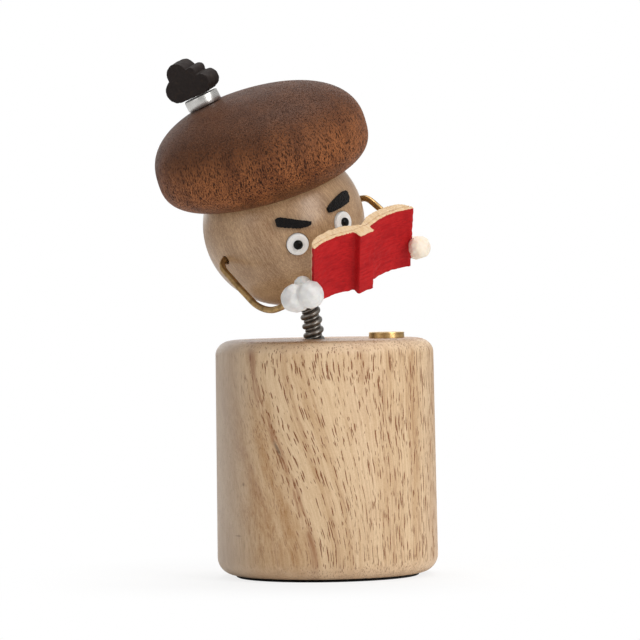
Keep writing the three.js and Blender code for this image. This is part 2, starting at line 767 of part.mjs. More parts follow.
function knobPin() {
  const low = crankArmY() + SEAT_GAP;
  const high = knobLow() + KNOB_LENGTH + RUNNING_GAP;
  return turned([
    [0, low],
    [KNOB_PIN_RADIUS, low],
    [KNOB_PIN_RADIUS, high],
    [KNOB_PIN_HEAD_RADIUS, high],
    [KNOB_PIN_HEAD_RADIUS, high + KNOB_PIN_HEAD_HEIGHT / 2],
    [KNOB_PIN_RADIUS, high + KNOB_PIN_HEAD_HEIGHT],
    [0, high + KNOB_PIN_HEAD_HEIGHT],
  ], SMALL_SEGMENTS).translate(0, CRANK_ARM_LENGTH, 0);
}

function crankKnob() {
  const bore = KNOB_PIN_RADIUS + RUNNING_GAP;
  const low = knobLow();
  const swell = KNOB_BELLY_RADIUS - KNOB_END_RADIUS;
  const steps = 2 * EDGE_STEPS;
  const side = Array.from({ length: steps + 1 }, (_, k) => {
    const share = k / steps;
    return [KNOB_END_RADIUS + swell * Math.sin(Math.PI * share), low + KNOB_LENGTH * share];
  });
  return turned([[bore, low], ...side, [bore, low + KNOB_LENGTH], [bore, low]], SMALL_SEGMENTS)
    .translate(0, CRANK_ARM_LENGTH, 0);
}

// Place and directions on the neck's middle line, a length along it from where it starts to bend
function neckPlace(along) {
  const lean = radians(HEAD_LEAN);
  const direction = radians(HEAD_LEAN_DIRECTION);
  const bent = THREE.MathUtils.clamp(along / NECK_ARC_LENGTH, 0, 1);
  const radius = NECK_ARC_LENGTH / lean;
  const angle = lean * bent;
  const straight = along - bent * NECK_ARC_LENGTH;
  const sideways = radius * (1 - Math.cos(angle)) + Math.max(straight, 0) * Math.sin(angle);
  const up = radius * Math.sin(angle) + straight * (straight > 0 ? Math.cos(angle) : 1);
  const towards = new THREE.Vector3(Math.cos(direction), Math.sin(direction), 0);
  const upward = new THREE.Vector3(0, 0, 1);
  const point = new THREE.Vector3(spindleX, 0, ferruleTopZ)
    .addScaledVector(towards, sideways)
    .addScaledVector(upward, up);
  return {
    point,
    along: upward.clone().multiplyScalar(Math.cos(angle)).addScaledVector(towards, Math.sin(angle)),
    across: towards.clone().multiplyScalar(Math.cos(angle)).addScaledVector(upward, -Math.sin(angle)),
    aside: new THREE.Vector3(-Math.sin(direction), Math.cos(direction), 0),
  };
}

// Lengths along the neck where the winding starts and where its upper leg ends
function coilStart() {
  return cupFloorZ + SEAT_GAP + 2 * COIL_WIRE_RADIUS - ferruleTopZ;
}

function coilTop() {
  return coilStart() + COIL_PITCH * COIL_CURLS + 2 * COIL_WIRE_RADIUS;
}

// Middle line of a wire wound round the neck, with a straight leg along the neck at each end
class WindingLine extends THREE.Curve {
  constructor(centreRadius, leg, firstTurn) {
    super();
    this.centreRadius = centreRadius;
    this.leg = leg;
    this.firstTurn = firstTurn;
  }

  getPoint(share, target = new THREE.Vector3()) {
    const wound = COIL_PITCH * COIL_CURLS;
    const travelled = share * (wound + 2 * this.leg) - this.leg;
    const turn = this.firstTurn + 2 * Math.PI * THREE.MathUtils.clamp(travelled, 0, wound) / COIL_PITCH;
    const { point, across, aside } = neckPlace(coilStart() + travelled);
    return target.copy(point)
      .addScaledVector(across, this.centreRadius * Math.cos(turn))
      .addScaledVector(aside, this.centreRadius * Math.sin(turn));
  }
}

// One closed tube along a curve, with a cross-section of equal sides
function tubeAlong(curve, radius, sides, steps) {
  const section = new THREE.Shape(Array.from({ length: sides }, (_, k) => {
    const angle = 2 * Math.PI * k / sides;
    return new THREE.Vector2(radius * Math.cos(angle), radius * Math.sin(angle));
  }));
  return closed(new THREE.ExtrudeGeometry(section, { steps, extrudePath: curve, bevelEnabled: false }));
}

// Least gap of a wound wire to itself, between points of its line half a curl or more apart
function leastGap(points, radius) {
  let least = Infinity;
  points.forEach((point, k) => {
    for (let other = k + STEPS_PER_CURL / 2; other < points.length; other += 1) {
      least = Math.min(least, point.distanceTo(points[other]) - 2 * radius);
    }
  });
  return least;
}

function winding(name, centreRadius, wireRadius, firstTurn) {
  const line = new WindingLine(centreRadius, 2 * wireRadius, firstTurn);
  const steps = (COIL_CURLS + 1) * STEPS_PER_CURL;
  const least = leastGap(line.getSpacedPoints(steps), wireRadius);
  console.log(`${name} least gap to itself: ${least.toFixed(2)} mm`);
  return piece(name, tubeAlong(line, wireRadius, COIL_SIDES, steps), 'steel');
}

// Unit direction on the head from a turn from the front, to the right, and a rise
function headDirection(turn, rise) {
  const [t, r] = [radians(turn), radians(rise)];
  return new THREE.Vector3(Math.sin(t) * Math.cos(r), -Math.cos(t) * Math.cos(r), Math.sin(r));
}

// Stands a shape made along Z on the head's surface, pointing out in the given direction
function pointedAlong(geometry, direction) {
  const upward = new THREE.Vector3(0, 0, 1);
  return geometry.applyQuaternion(new THREE.Quaternion().setFromUnitVectors(upward, direction));
}

// Head: a ball with sockets for the neck, the hat's dowel, the arms and the eyes
function headBall() {
  const ball = closed(new THREE.SphereGeometry(HEAD_RADIUS, 2 * HEAD_ROWS, HEAD_ROWS).rotateX(Math.PI / 2));
  const socketTop = coilTop() - NECK_ARC_LENGTH + SEAT_GAP - HEAD_RADIUS;
  const neckSocket = rod(COIL_OUTER_RADIUS + SEAT_GAP, -(HEAD_RADIUS + CUT_OVERRUN), socketTop);
  const dowelSocket = rod(
    DOWEL_RADIUS + SEAT_GAP, HEAD_RADIUS - DOWEL_LENGTH / 2 - SEAT_GAP, HEAD_RADIUS + CUT_OVERRUN,
  );
  const armHoles = [LEFT_ARM, RIGHT_ARM].map(({ turn, rise }) => pointedAlong(
    rod(ARM_WIRE_RADIUS + SEAT_GAP, HEAD_RADIUS - ARM_HOLE_DEPTH, HEAD_RADIUS + CUT_OVERRUN),
    headDirection(turn, rise),
  ));
  const pocketFloor = HEAD_RADIUS + EYE_PROUD - EYE_THICKNESS - SEAT_GAP;
  const eyePockets = Object.values(EYE_PLACES).map(({ turn, rise }) => pointedAlong(
    rod(EYE_RADIUS + SEAT_GAP, pocketFloor, HEAD_RADIUS + CUT_OVERRUN, MEDIUM_SEGMENTS),
    headDirection(turn, rise),
  ));
  return cut(ball, neckSocket, dowelSocket, ...armHoles, ...eyePockets);
}

function eyeWhite(side) {
  const { turn, rise } = EYE_PLACES[side];
  const high = HEAD_RADIUS + EYE_PROUD;
  const low = high - EYE_THICKNESS;
  return pointedAlong(turned([
    [0, low],
    [EYE_RADIUS, low],
    [EYE_RADIUS, high - EYE_DOME],
    [EYE_RADIUS - EYE_DOME, high],
    [0, high],
  ], MEDIUM_SEGMENTS), headDirection(turn, rise));
}

function eyePupil(side) {
  const { turn, rise } = EYE_PLACES[side];
  const low = HEAD_RADIUS + EYE_PROUD + SEAT_GAP;
  const high = low + PUPIL_THICKNESS;
  const shoulderShare = 0.6;
  return pointedAlong(turned([
    [0, low],
    [PUPIL_RADIUS, low],
    [PUPIL_RADIUS, low + PUPIL_THICKNESS * (1 - shoulderShare)],
    [PUPIL_RADIUS * shoulderShare, high],
    [0, high],
  ], SMALL_SEGMENTS), headDirection(turn, rise));
}

// Eyebrow: a strip of felt that lies on the ball, from its stations
function eyebrow(side) {
  const stations = BROW_STATIONS[side].toSorted(([turn], [next]) => turn - next);
  const steps = stations.length - 1;
  const strip = new THREE.BoxGeometry(steps, 1, BROW_THICKNESS, steps);
  const place = strip.attributes.position;
  for (let k = 0; k < place.count; k += 1) {
    const [turn, low, high] = stations[Math.round(place.getX(k) + steps / 2)];
    const rise = place.getY(k) > 0 ? high : low;
    const out = HEAD_RADIUS + SEAT_GAP + BROW_THICKNESS / 2 + place.getZ(k);
    const point = headDirection(turn, rise).multiplyScalar(out);
    place.setXYZ(k, point.x, point.y, point.z);
  }
  return closed(strip);
}

// Height of the hat's crown above the head's middle, at a distance from the axis
function crownHeight(radius) {
  const share = (radius / HAT_RADIUS) ** HAT_CROWN_POWER;
  return HAT_RIM_HEIGHT + HAT_CROWN_HEIGHT * (1 - share) ** (1 / HAT_CROWN_POWER);
}

// Half of the hat's profile, from the rim to the axis, above it or below it
function hatCurve(height, power) {
  return Array.from({ length: HAT_STEPS + 1 }, (_, k) => {
    const angle = Math.PI / 2 * k / HAT_STEPS;
    const radius = k === HAT_STEPS ? 0 : HAT_RADIUS * Math.cos(angle) ** (2 / power);
    return [radius, HAT_RIM_HEIGHT + height * Math.sin(angle) ** (2 / power)];
  });
}

// The hat's hollow is cut more coarsely than the ball, so its corners stand out by its chords' depth
function hatSeatRadius() {
  return (HEAD_RADIUS + SEAT_GAP) / Math.cos(Math.PI / (2 * HAT_SEAT_ROWS)) ** 2;
}

function hat() {
  const under = hatCurve(-HAT_UNDER_DEPTH, HAT_UNDER_POWER).toReversed();
  const crown = hatCurve(HAT_CROWN_HEIGHT, HAT_CROWN_POWER).slice(1);
  const body = turned([...under, ...crown], FINE_SEGMENTS);
  const seat = new THREE.SphereGeometry(hatSeatRadius(), 2 * HAT_SEAT_ROWS, HAT_SEAT_ROWS);
  const dowelTop = HEAD_RADIUS + DOWEL_LENGTH / 2 + SEAT_GAP;
  const screwTop = SCREW_HEAD_SINK + SEAT_GAP;
  const magnetSeat = rod(MAGNET_RADIUS + SEAT_GAP, -MAGNET_SEAT_DEPTH, HAT_CROWN_HEIGHT, MEDIUM_SEGMENTS);
  const screwHoleInHat = rod(
    SCREW_HEAD_RADIUS + SEAT_GAP, -(HAT_SCREW_LENGTH + MAGNET_SEAT_DEPTH + screwTop), CUT_OVERRUN,
  );
  return cut(
    body, seat.rotateX(Math.PI / 2), rod(DOWEL_RADIUS + SEAT_GAP, HEAD_RADIUS - CUT_OVERRUN, dowelTop),
    atMagnet(magnetSeat), atMagnet(screwHoleInHat),
  );
}

// Where the magnet stands on the crown, and the crown's slope there
function magnetPlace() {
  const step = MAGNET_SEAT_DEPTH;
  const rise = crownHeight(MAGNET_CIRCLE_RADIUS - step) - crownHeight(MAGNET_CIRCLE_RADIUS + step);
  const slope = Math.atan2(rise, 2 * step);
  const outward = headDirection(MAGNET_DIRECTION, 0);
  const normal = outward.clone().multiplyScalar(Math.sin(slope));
  normal.z = Math.cos(slope);
  const point = outward.multiplyScalar(MAGNET_CIRCLE_RADIUS);
  point.z = crownHeight(MAGNET_CIRCLE_RADIUS);
  return { point, normal };
}

function atMagnet(geometry) {
  const { point, normal } = magnetPlace();
  return pointedAlong(geometry, normal).translate(point.x, point.y, point.z);
}

function hatDowel() {
  return rod(DOWEL_RADIUS, HEAD_RADIUS - DOWEL_LENGTH / 2, HEAD_RADIUS + DOWEL_LENGTH / 2);
}

// Steel screw under the magnet, its head flush with the magnet's seat
function hatScrew() {
  const top = -MAGNET_SEAT_DEPTH - SCREW_HEAD_SINK;
  const screw = countersunkScrew(0, SCREW_HEAD_RADIUS, HAT_SCREW_LENGTH);
  return atMagnet(screw.rotateX(Math.PI).translate(0, 0, top));
}

function magnetLow() {
  return SEAT_GAP - MAGNET_SEAT_DEPTH;
}

function cloudMagnet() {
  const low = magnetLow();
  const high = low + MAGNET_HEIGHT;
  const bore = CLOUD_PIN_RADIUS + RUNNING_GAP;
  return turned([
    [bore, low],
    [MAGNET_RADIUS - MAGNET_CHAMFER, low],
    [MAGNET_RADIUS, low + MAGNET_CHAMFER],
    [MAGNET_RADIUS, high - MAGNET_CHAMFER],
    [MAGNET_RADIUS - MAGNET_CHAMFER, high],
    [bore, high],
    [bore, low],
  ], MEDIUM_SEGMENTS);
}

function cloudPin() {
  const top = magnetLow() + MAGNET_HEIGHT + SEAT_GAP + CLOUD_PIN_DEPTH;
  return rod(CLOUD_PIN_RADIUS, magnetLow() + SEAT_GAP, top);
}

// Cloud: round lobes joined by a core, as shares of its width and height, cut from a plate
function cloud() {
  // Each lobe's middle across and up, and its radius, all shares
  const lobeShares = [
    [-0.284, 0.313, 0.304],
    [-0.091, 0.678, 0.322],
    [0.203, 0.608, 0.15],
    [0.328, 0.273, 0.242],
  ];
  const coreShares = [[-0.3, 0], [0.33, 0], [0.22, 0.62], [-0.1, 0.7]];
  const low = magnetLow() + MAGNET_HEIGHT + SEAT_GAP;
  const lobes = lobeShares.map(([across, up, size]) => {
    const radius = size * CLOUD_HEIGHT;
    const lobe = new THREE.CylinderGeometry(radius, radius, CLOUD_THICKNESS, SMALL_SEGMENTS);
    return lobe.translate(CLOUD_OFFSET + across * CLOUD_WIDTH, 0, low + up * CLOUD_HEIGHT);
  });
  const core = new THREE.Shape(coreShares.map(([across, up]) => (
    new THREE.Vector2(CLOUD_OFFSET + across * CLOUD_WIDTH, up * CLOUD_HEIGHT)
  )));
  const plate = extruded(core, CLOUD_THICKNESS).rotateX(Math.PI / 2).translate(0, CLOUD_THICKNESS / 2, low);
  const pinTop = low + CLOUD_PIN_DEPTH + SEAT_GAP;
  const pinHole = rod(CLOUD_PIN_RADIUS + SEAT_GAP, low - CUT_OVERRUN, pinTop);
  return cut(join(plate, ...lobes), pinHole);
}

// Outline of the open pages across the book: an arch each side of the fold, over the boards
function pageOutline(clearance) {
  // Shares of the half width, and of the pages' depth from the boards' outer face
  const archShares = [
    [0, 0.42],
    [0.1, 0.6],
    [0.25, 0.86],
    [0.48, 1],
    [0.7, 0.95],
    [0.87, 0.74],
    [0.975, 0.44],
    [1, 0.32],
  ];
  const half = BOOK_WIDTH / 2 - PAGE_MARGIN;
  const right = archShares.map(([across, deep]) => [
    across * (half + clearance), deep * PAGE_DEPTH + clearance,
  ]);
  const left = right.slice(1).toReversed().map(([across, deep]) => [-across, deep]);
  return [...left, ...right].map(([across, deep]) => new THREE.Vector2(across, deep));
}

// The book's pieces: +X across, -Y out of the covers, +Z up the page, from the middle of the covers
function bookPages() {
  const floor = COVER_BOARD + SEAT_GAP;
  const arch = pageOutline(0);
  const half = arch.at(-1).x;
  const shape = new THREE.Shape([new THREE.Vector2(-half, floor), ...arch, new THREE.Vector2(half, floor)]);
  return upThePage(extruded(shape, BOOK_HEIGHT), BOOK_HEIGHT);
}

// Stands an outline drawn across and behind the book upright on its middle
function upThePage(geometry, height) {
  return geometry.translate(0, 0, -height / 2);
}

function bookCover() {
  const half = BOOK_WIDTH / 2;
  const spine = SPINE_WIDTH / 2;
  const shape = new THREE.Shape([
    new THREE.Vector2(-half, 0),
    new THREE.Vector2(SPINE_OFFSET - spine, 0),
    new THREE.Vector2(SPINE_OFFSET - spine, -SPINE_PROUD),
    new THREE.Vector2(SPINE_OFFSET + spine, -SPINE_PROUD),
    new THREE.Vector2(SPINE_OFFSET + spine, 0),
    new THREE.Vector2(half, 0),
    new THREE.Vector2(half, COVER_BOARD),
    new THREE.Vector2(-half, COVER_BOARD),
  ]);
  return upThePage(extruded(shape, BOOK_HEIGHT), BOOK_HEIGHT);
}

// The room that the book takes, with the seat gap round it
function bookRoom() {
  const arch = pageOutline(SEAT_GAP);
  const half = BOOK_WIDTH / 2 + SEAT_GAP;
  const shape = new THREE.Shape([
    new THREE.Vector2(-half, -SEAT_GAP),
    new THREE.Vector2(-half, COVER_BOARD + SEAT_GAP),
    ...arch,
    new THREE.Vector2(half, COVER_BOARD + SEAT_GAP),
    new THREE.Vector2(half, -SEAT_GAP),
  ]);
  return upThePage(extruded(shape, BOOK_HEIGHT + 2 * SEAT_GAP), BOOK_HEIGHT + 2 * SEAT_GAP);
}

function lobe({ side, out, up, radius }) {
  return new THREE.IcosahedronGeometry(radius, HAND_DETAIL).translate(side, -out, up);
}

// Hand: three lobes joined, less the room for the book and for the arm's wire
function hand(arm, { palm, fingers, thumb }) {
  return cut(join(lobe(palm), lobe(fingers), lobe(thumb)), bookRoom(), wireRoom(arm, palm));
}

// Stands the book in front of the face, leaning out at its top
function placeBook(object) {
  object.position.set(BOOK_OFFSET, -BOOK_REACH, -BOOK_DROP);
  object.rotation.set(radians(BOOK_PITCH), radians(BOOK_SWING), radians(BOOK_TILT));
  object.updateMatrix();
  return object;
}

// Points of an arm's middle line on the head, from its hole to the middle of its palm
function armPoints({ turn, rise, wayShares }, palm) {
  const hole = headDirection(turn, rise);
  const inside = hole.clone().multiplyScalar(HEAD_RADIUS - ARM_HOLE_DEPTH + SEAT_GAP);
  const mouth = hole.clone().multiplyScalar(HEAD_RADIUS + ARM_WIRE_RADIUS);
  const { matrix } = placeBook(new THREE.Object3D());
  const end = new THREE.Vector3(palm.side, -palm.out, palm.up).applyMatrix4(matrix);
  const way = wayShares.map(([spread, reach, drop]) => (
    new THREE.Vector3(spread * armSpread, -reach * ARM_REACH, -drop * ARM_DROP)
  ));
  return [inside, mouth, ...way, end];
}

function armWire(arm, palm) {
  return tubeAlong(new THREE.CatmullRomCurve3(armPoints(arm, palm)), ARM_WIRE_RADIUS, ARM_SIDES, ARM_STEPS);
}

// The room that an arm's wire takes in its hand, in the book's frame and run on past the wire's end
function wireRoom(arm, palm) {
  const back = placeBook(new THREE.Object3D()).matrix.invert();
  const points = armPoints(arm, palm).map((point) => point.applyMatrix4(back));
  const last = points.at(-1);
  const runOn = last.clone().sub(points.at(-2)).normalize().multiplyScalar(SEAT_GAP);
  const curve = new THREE.CatmullRomCurve3([...points, last.clone().add(runOn)]);
  return tubeAlong(curve, ARM_WIRE_RADIUS + SEAT_GAP, ARM_SIDES, 2 * ARM_STEPS);
}

function baseGroup() {
  return group(
    piece('base_block', baseBlock(), 'ash'),
    piece('base_cover', baseCover(), 'plywood'),
    ...BOSS_ANGLES.map((angle, k) => piece(`cover_screw_${k + 1}`, coverScrew(angle), 'steel')),
    piece('base_pad', rod(PAD_RADIUS, 0, PAD_THICKNESS, FINE_SEGMENTS), 'felt'),
    piece('crank_bush', crankBush(), 'brass'),
  );
}

function crankGroup() {
  const crank = group(
    piece('crank_shaft', crankShaft(), 'steel'),
    piece('drive_wheel', driveWheel(), 'beech'),
    piece('wheel_tyre', wheelTyre(), 'rubber'),
    piece('shaft_collar', shaftCollar(), 'steel'),
    piece('crank_arm', crankArm(), 'walnut'),
    piece('crank_screw', crankScrew(), 'brass'),
    piece('knob_pin', knobPin(), 'steel'),
    piece('crank_knob', crankKnob(), 'beech'),
  );
  crank.position.set(spindleX, 0, crankAxisZ);
  crank.rotation.x = -Math.PI / 2;
  return crank;
}

function spindleGroup() {
  const spindle = group(
    piece('spindle_bush', spindleBush(), 'brass'),
    piece('neck_spindle', neckSpindle(), 'steel'),
    piece('friction_disc', frictionDisc(), 'plywood'),
    piece('spindle_gear', spindleGear(), 'brass'),
    piece('spindle_collar', spindleCollar(), 'steel'),
    piece('neck_ferrule', neckFerrule(), 'steel'),
  );
  spindle.position.x = spindleX;
  return spindle;
}

function stageGroup() {
  const stage = group(
    piece('stage_bush', stageBush(), 'brass'),
    piece('stage_disc', stageDisc(), 'brass'),
    piece('stage_pinion', stagePinion(), 'brass'),
  );
  stage.position.x = STAGE_X;
  return stage;
}

function neckGroup() {
  const betweenCurls = Math.PI;
  return group(
    winding('neck_round_coil', COIL_OUTER_RADIUS - COIL_WIRE_RADIUS, COIL_WIRE_RADIUS, 0),
    winding('neck_wedge_coil', WEDGE_CENTRE_RADIUS, WEDGE_WIRE_RADIUS, betweenCurls),
  );
}

function cloudGroup() {
  const { point, normal } = magnetPlace();
  const holder = group(
    piece('cloud_magnet', cloudMagnet(), 'nickel'),
    piece('cloud_pin', cloudPin(), 'steel'),
    piece('cloud', cloud().rotateZ(radians(CLOUD_TURN)), 'black'),
  );
  holder.position.copy(point);
  holder.quaternion.setFromUnitVectors(new THREE.Vector3(0, 0, 1), normal);
  return holder;
}

function bookGroup() {
  return placeBook(group(
    piece('book_cover', bookCover(), 'red'),
    piece('book_pages', bookPages(), 'cream'),
    piece('left_hand', hand(LEFT_ARM, LEFT_HAND), 'white'),
    piece('right_hand', hand(RIGHT_ARM, RIGHT_HAND), 'white'),
  ));
}

function headGroup() {
  const head = group(
    piece('head_ball', headBall(), 'beech'),
    piece('hat', hat(), 'walnut'),
    piece('hat_dowel', hatDowel(), 'beech'),
    piece('hat_screw', hatScrew(), 'steel'),
    piece('left_arm', armWire(LEFT_ARM, LEFT_HAND.palm), 'brass'),
    piece('right_arm', armWire(RIGHT_ARM, RIGHT_HAND.palm), 'brass'),
    cloudGroup(),
    bookGroup(),
  );
  for (const side of Object.keys(EYE_PLACES)) {
    head.add(
      piece(`${side}_eye`, eyeWhite(side), 'white'),
      piece(`${side}_pupil`, eyePupil(side), 'black'),
      piece(`${side}_eyebrow`, eyebrow(side), 'black'),
    );
  }
  const direction = radians(HEAD_LEAN_DIRECTION);
  const leanAxis = new THREE.Vector3(-Math.sin(direction), Math.cos(direction), 0);
  const yaw = new THREE.Quaternion().setFromAxisAngle(new THREE.Vector3(0, 0, 1), radians(HEAD_YAW));
  head.position.copy(headCentre);
  head.quaternion.setFromAxisAngle(leanAxis, radians(HEAD_LEAN)).multiply(yaw);
  return head;
}

export default group(baseGroup(), crankGroup(), spindleGroup(), stageGroup(), neckGroup(), headGroup());
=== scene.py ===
"""Looks of a wooden crank automaton: a reading figure on a bendable neck above a turned base."""
import math

import bpy
from bpy.props import FloatProperty, FloatVectorProperty, IntProperty, PointerProperty
from mathutils import Matrix, Vector, noise


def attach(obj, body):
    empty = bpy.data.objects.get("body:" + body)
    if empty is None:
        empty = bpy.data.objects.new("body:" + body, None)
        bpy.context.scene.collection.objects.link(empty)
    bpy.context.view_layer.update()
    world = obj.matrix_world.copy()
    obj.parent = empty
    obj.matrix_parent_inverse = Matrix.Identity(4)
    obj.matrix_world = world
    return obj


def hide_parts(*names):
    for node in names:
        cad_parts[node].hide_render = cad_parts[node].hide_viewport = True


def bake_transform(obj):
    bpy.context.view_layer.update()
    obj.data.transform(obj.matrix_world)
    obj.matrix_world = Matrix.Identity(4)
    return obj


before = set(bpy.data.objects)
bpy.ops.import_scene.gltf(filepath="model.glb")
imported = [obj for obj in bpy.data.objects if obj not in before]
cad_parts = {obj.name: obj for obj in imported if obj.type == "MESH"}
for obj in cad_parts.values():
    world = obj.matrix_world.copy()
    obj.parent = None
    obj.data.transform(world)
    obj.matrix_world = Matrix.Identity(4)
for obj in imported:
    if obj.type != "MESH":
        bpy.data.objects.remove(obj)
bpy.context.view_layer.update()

bl_info = {
    "name": "Wooden crank automaton",
    "version": (1, 0, 0),
    "blender": (4, 5, 0),
    "location": "3D View > Sidebar > Automaton",
    "description": "Builds a turned wooden automaton, a reading figure on a bendable neck, piece by piece",
    "category": "Object",
}

MM = 0.001
# Free space between pieces that are put together or move
GAP = 0.3 * MM
# Radius at which a turned piece closes on its axis
TIP = 0.05 * MM
# Holes along the axes of the crank, the knob, the hat's dowel and the cloud's pin
SHAFT_HOLE = 2.3 * MM
KNOB_HOLE = 1.8 * MM
DOWEL_HOLE = 3.3 * MM
CLOUD_HOLE = 1.3 * MM
# How deep the dowel goes into the head, and into the hat
DOWEL_DEPTH = 7.8 * MM


# Sizes and colours, kept on the scene

def length(label, about, size):
    return FloatProperty(name=label, description=about, default=size * MM, unit="LENGTH", precision=5)


def angle(label, about, degrees):
    return FloatProperty(name=label, description=about, default=math.radians(degrees), subtype="ANGLE")


def fullness(label, about, power):
    return FloatProperty(name=label, description=about, default=power, subtype="UNSIGNED")


def colour(label, about, code):
    """A colour given as it looks on a screen, kept in linear values."""
    parts = [int(code[k:k + 2], 16) / 255 for k in (0, 2, 4)]
    values = [p / 12.92 if p <= 0.04045 else ((p + 0.055) / 1.055) ** 2.4 for p in parts]
    return FloatVectorProperty(
        name=label, description=about, default=values, size=3, min=0, max=1, subtype="COLOR"
    )


class BaseSizes(bpy.types.PropertyGroup):
    height: length("Height", "From the table to the top of the block", 70)
    top_radius: length("Top radius", "Radius of the wall under the top edge", 32.2)
    foot_radius: length("Foot radius", "Radius of the wall over the foot edge", 32.6)
    top_edge_width: length("Top edge width", "How far the rounded top edge comes in", 5.2)
    top_edge_height: length("Top edge height", "How far the rounded top edge comes down", 4.2)
    foot_edge_width: length("Foot edge width", "How far the rounded foot edge comes in", 5.4)
    foot_edge_height: length("Foot edge height", "How far the rounded foot edge comes up", 5.2)
    chamber_radius: length("Chamber radius", "Radius of the hollow for the works", 24.2)
    ceiling: length("Chamber ceiling", "Height of the top of the hollow", 58)
    cover_radius: length("Cover radius", "Radius of the round bottom cover", 26.1)
    cover_top: length("Cover top", "Height of the inner face of the bottom cover", 4.8)
    boss_radius: length("Boss radius", "Radius of each column that takes a cover screw", 4.2)
    boss_circle: length("Boss circle", "Distance of the columns from the middle", 23)
    pad_radius: length("Pad radius", "Radius of the felt pad", 27)
    pad_thickness: length("Pad thickness", "Thickness of the felt pad", 0.8)
    spindle_x: length("Spindle place", "Where the neck's spindle stands, to the right of the middle", -2.8)
    disc_x: length("Disc place", "Where the brass disc stands, to the right of the middle", 18.45)
    disc_radius: length("Disc radius", "Radius of the brass disc", 5.25)
    disc_thickness: length("Disc thickness", "Height of the brass disc over the block", 1.75)
    stem_radius: length("Stem radius", "Radius of the brass disc's stem", 1.8)
    stem_foot: length("Stem foot", "Height of the stem's lower end", 45.3)


class CrankSizes(bpy.types.PropertyGroup):
    axis_height: length("Axis height", "Height of the crank's axis over the table", 34)
    spot_depth: length("Spot depth", "Depth of the flat spot behind the bush's flange", 1.6)
    flange_thickness: length("Flange thickness", "Thickness of the bush's flange", 1.4)
    arm_length: length("Arm length", "From the shaft to the knob's pin", 16)
    arm_thickness: length("Arm thickness", "Thickness of the wooden arm", 4)
    hub_radius: length("Hub radius", "Radius of the arm round the shaft", 6)
    eye_radius: length("Eye radius", "Radius of the arm round the pin", 5)
    knob_length: length("Knob length", "Length of the wooden knob", 15.5)
    knob_end_radius: length("Knob end radius", "Radius of the knob at its ends", 3.9)
    knob_belly_radius: length("Knob belly radius", "Radius of the knob at its middle", 5.6)


class NeckSizes(bpy.types.PropertyGroup):
    foot: length("Bend foot", "Height at which the neck starts to bend", 66)
    arc_length: length("Arc length", "Length of the neck's middle line up to the head", 16.05)
    lean: angle("Lean", "How far the neck leans over along its length", 20.3)
    lean_direction: angle("Lean direction", "The way it leans, turned from the right", -140)
    outer_radius: length("Outer radius", "Radius over the thick coil", 3.15)
    wire_radius: length("Wire radius", "Radius of the thick wire", 0.92)
    thin_wire_radius: length("Thin wire radius", "Radius of the thin wire in the valleys", 0.5)
    thin_centre_radius: length("Thin coil radius", "Distance of the thin wire from the neck's middle", 1.95)
    pitch: length("Pitch", "Climb of the coil in one curl", 2.84)
    curls: IntProperty(name="Curls", description="Curls of the coil", default=8, min=1, subtype="UNSIGNED")


class HeadSizes(bpy.types.PropertyGroup):
    radius: length("Head radius", "Radius of the wooden ball", 23.8)
    yaw: angle("Yaw", "Turn of the face to the side", 28)
    eye_radius: length("Eye radius", "Radius of the white discs", 3.2)
    eye_proud: length("Eye proud", "How far the white discs stand out of the ball", 0.7)
    pupil_radius: length("Pupil radius", "Radius of the black pupils", 1.4)
    pupil_height: length("Pupil height", "How far the pupils stand out of the discs", 1.05)
    brow_thickness: length("Eyebrow thickness", "How far the felt eyebrows stand out of the ball", 1.25)
    arm_radius: length("Arm wire radius", "Radius of the brass wire arms", 0.95)
    arm_spread: length("Arm spread", "How far the arms reach to the sides", 26.8)
    arm_reach: length("Arm reach", "How far the arms reach to the front", 39.5)
    arm_drop: length("Arm drop", "How far the arms hang down", 14.8)


class HatSizes(bpy.types.PropertyGroup):
    radius: length("Hat radius", "Radius of the hat at its rim", 31.75)
    rim_height: length("Rim height", "Height of the rim over the head's middle", 23.3)
    crown_height: length("Crown height", "Height of the crown over the rim", 17.3)
    under_depth: length("Under depth", "Depth of the hat under the rim", 13.3)
    crown_power: fullness("Crown fullness", "Fullness of the crown's curve", 2.35)
    under_power: fullness("Under fullness", "Fullness of the curve below", 2.97)
    magnet_circle: length("Magnet circle", "Distance of the magnet from the hat's axis", 14.4)
    magnet_direction: angle("Magnet direction", "The magnet's turn from the face's front", -150)
    magnet_radius: length("Magnet radius", "Radius of the disc magnet", 5.2)
    magnet_height: length("Magnet height", "Height of the disc magnet", 3.3)
    seat_depth: length("Seat depth", "Depth of the magnet's flat seat", 0.35)
    cloud_width: length("Cloud width", "Width that the cloud's lobes follow", 16)
    cloud_height: length("Cloud height", "Height that the cloud's lobes follow", 11.35)
    cloud_offset: length("Cloud offset", "How far the cloud stands off the magnet's middle", -0.85)
    cloud_thickness: length("Cloud thickness", "Thickness of the cloud", 6)
    cloud_turn: angle("Cloud turn", "Turn of the cloud on its magnet", -59)


class BookSizes(bpy.types.PropertyGroup):
    width: length("Width", "Width of the open book", 34.9)
    height: length("Height", "Height of the book", 20.7)
    offset: length("Offset", "How far the book's middle lies to the side of the head's", 0.45)
    reach: length("Reach", "Distance of the covers from the head's middle", 43.15)
    drop: length("Drop", "How far the book's middle lies below the head's", 7.5)
    pitch: angle("Pitch", "How far the book lies back", 28.2)
    swing: angle("Swing", "Turn of the book about its reach", 2.3)
    tilt: angle("Tilt", "Turn of the book about its height", 2.2)
    board: length("Board", "Thickness of the cover", 1.2)
    spine_width: length("Spine width", "Width of the spine", 5.2)
    spine_proud: length("Spine proud", "How far the spine stands out of the covers", 2.4)
    spine_offset: length("Spine offset", "How far the spine stands off the middle", -0.75)
    page_depth: length("Page depth", "Depth of the pages from the covers' outer face", 5)
    bow: length("Bow", "How far each cover is bowed towards the pages", 1.5)


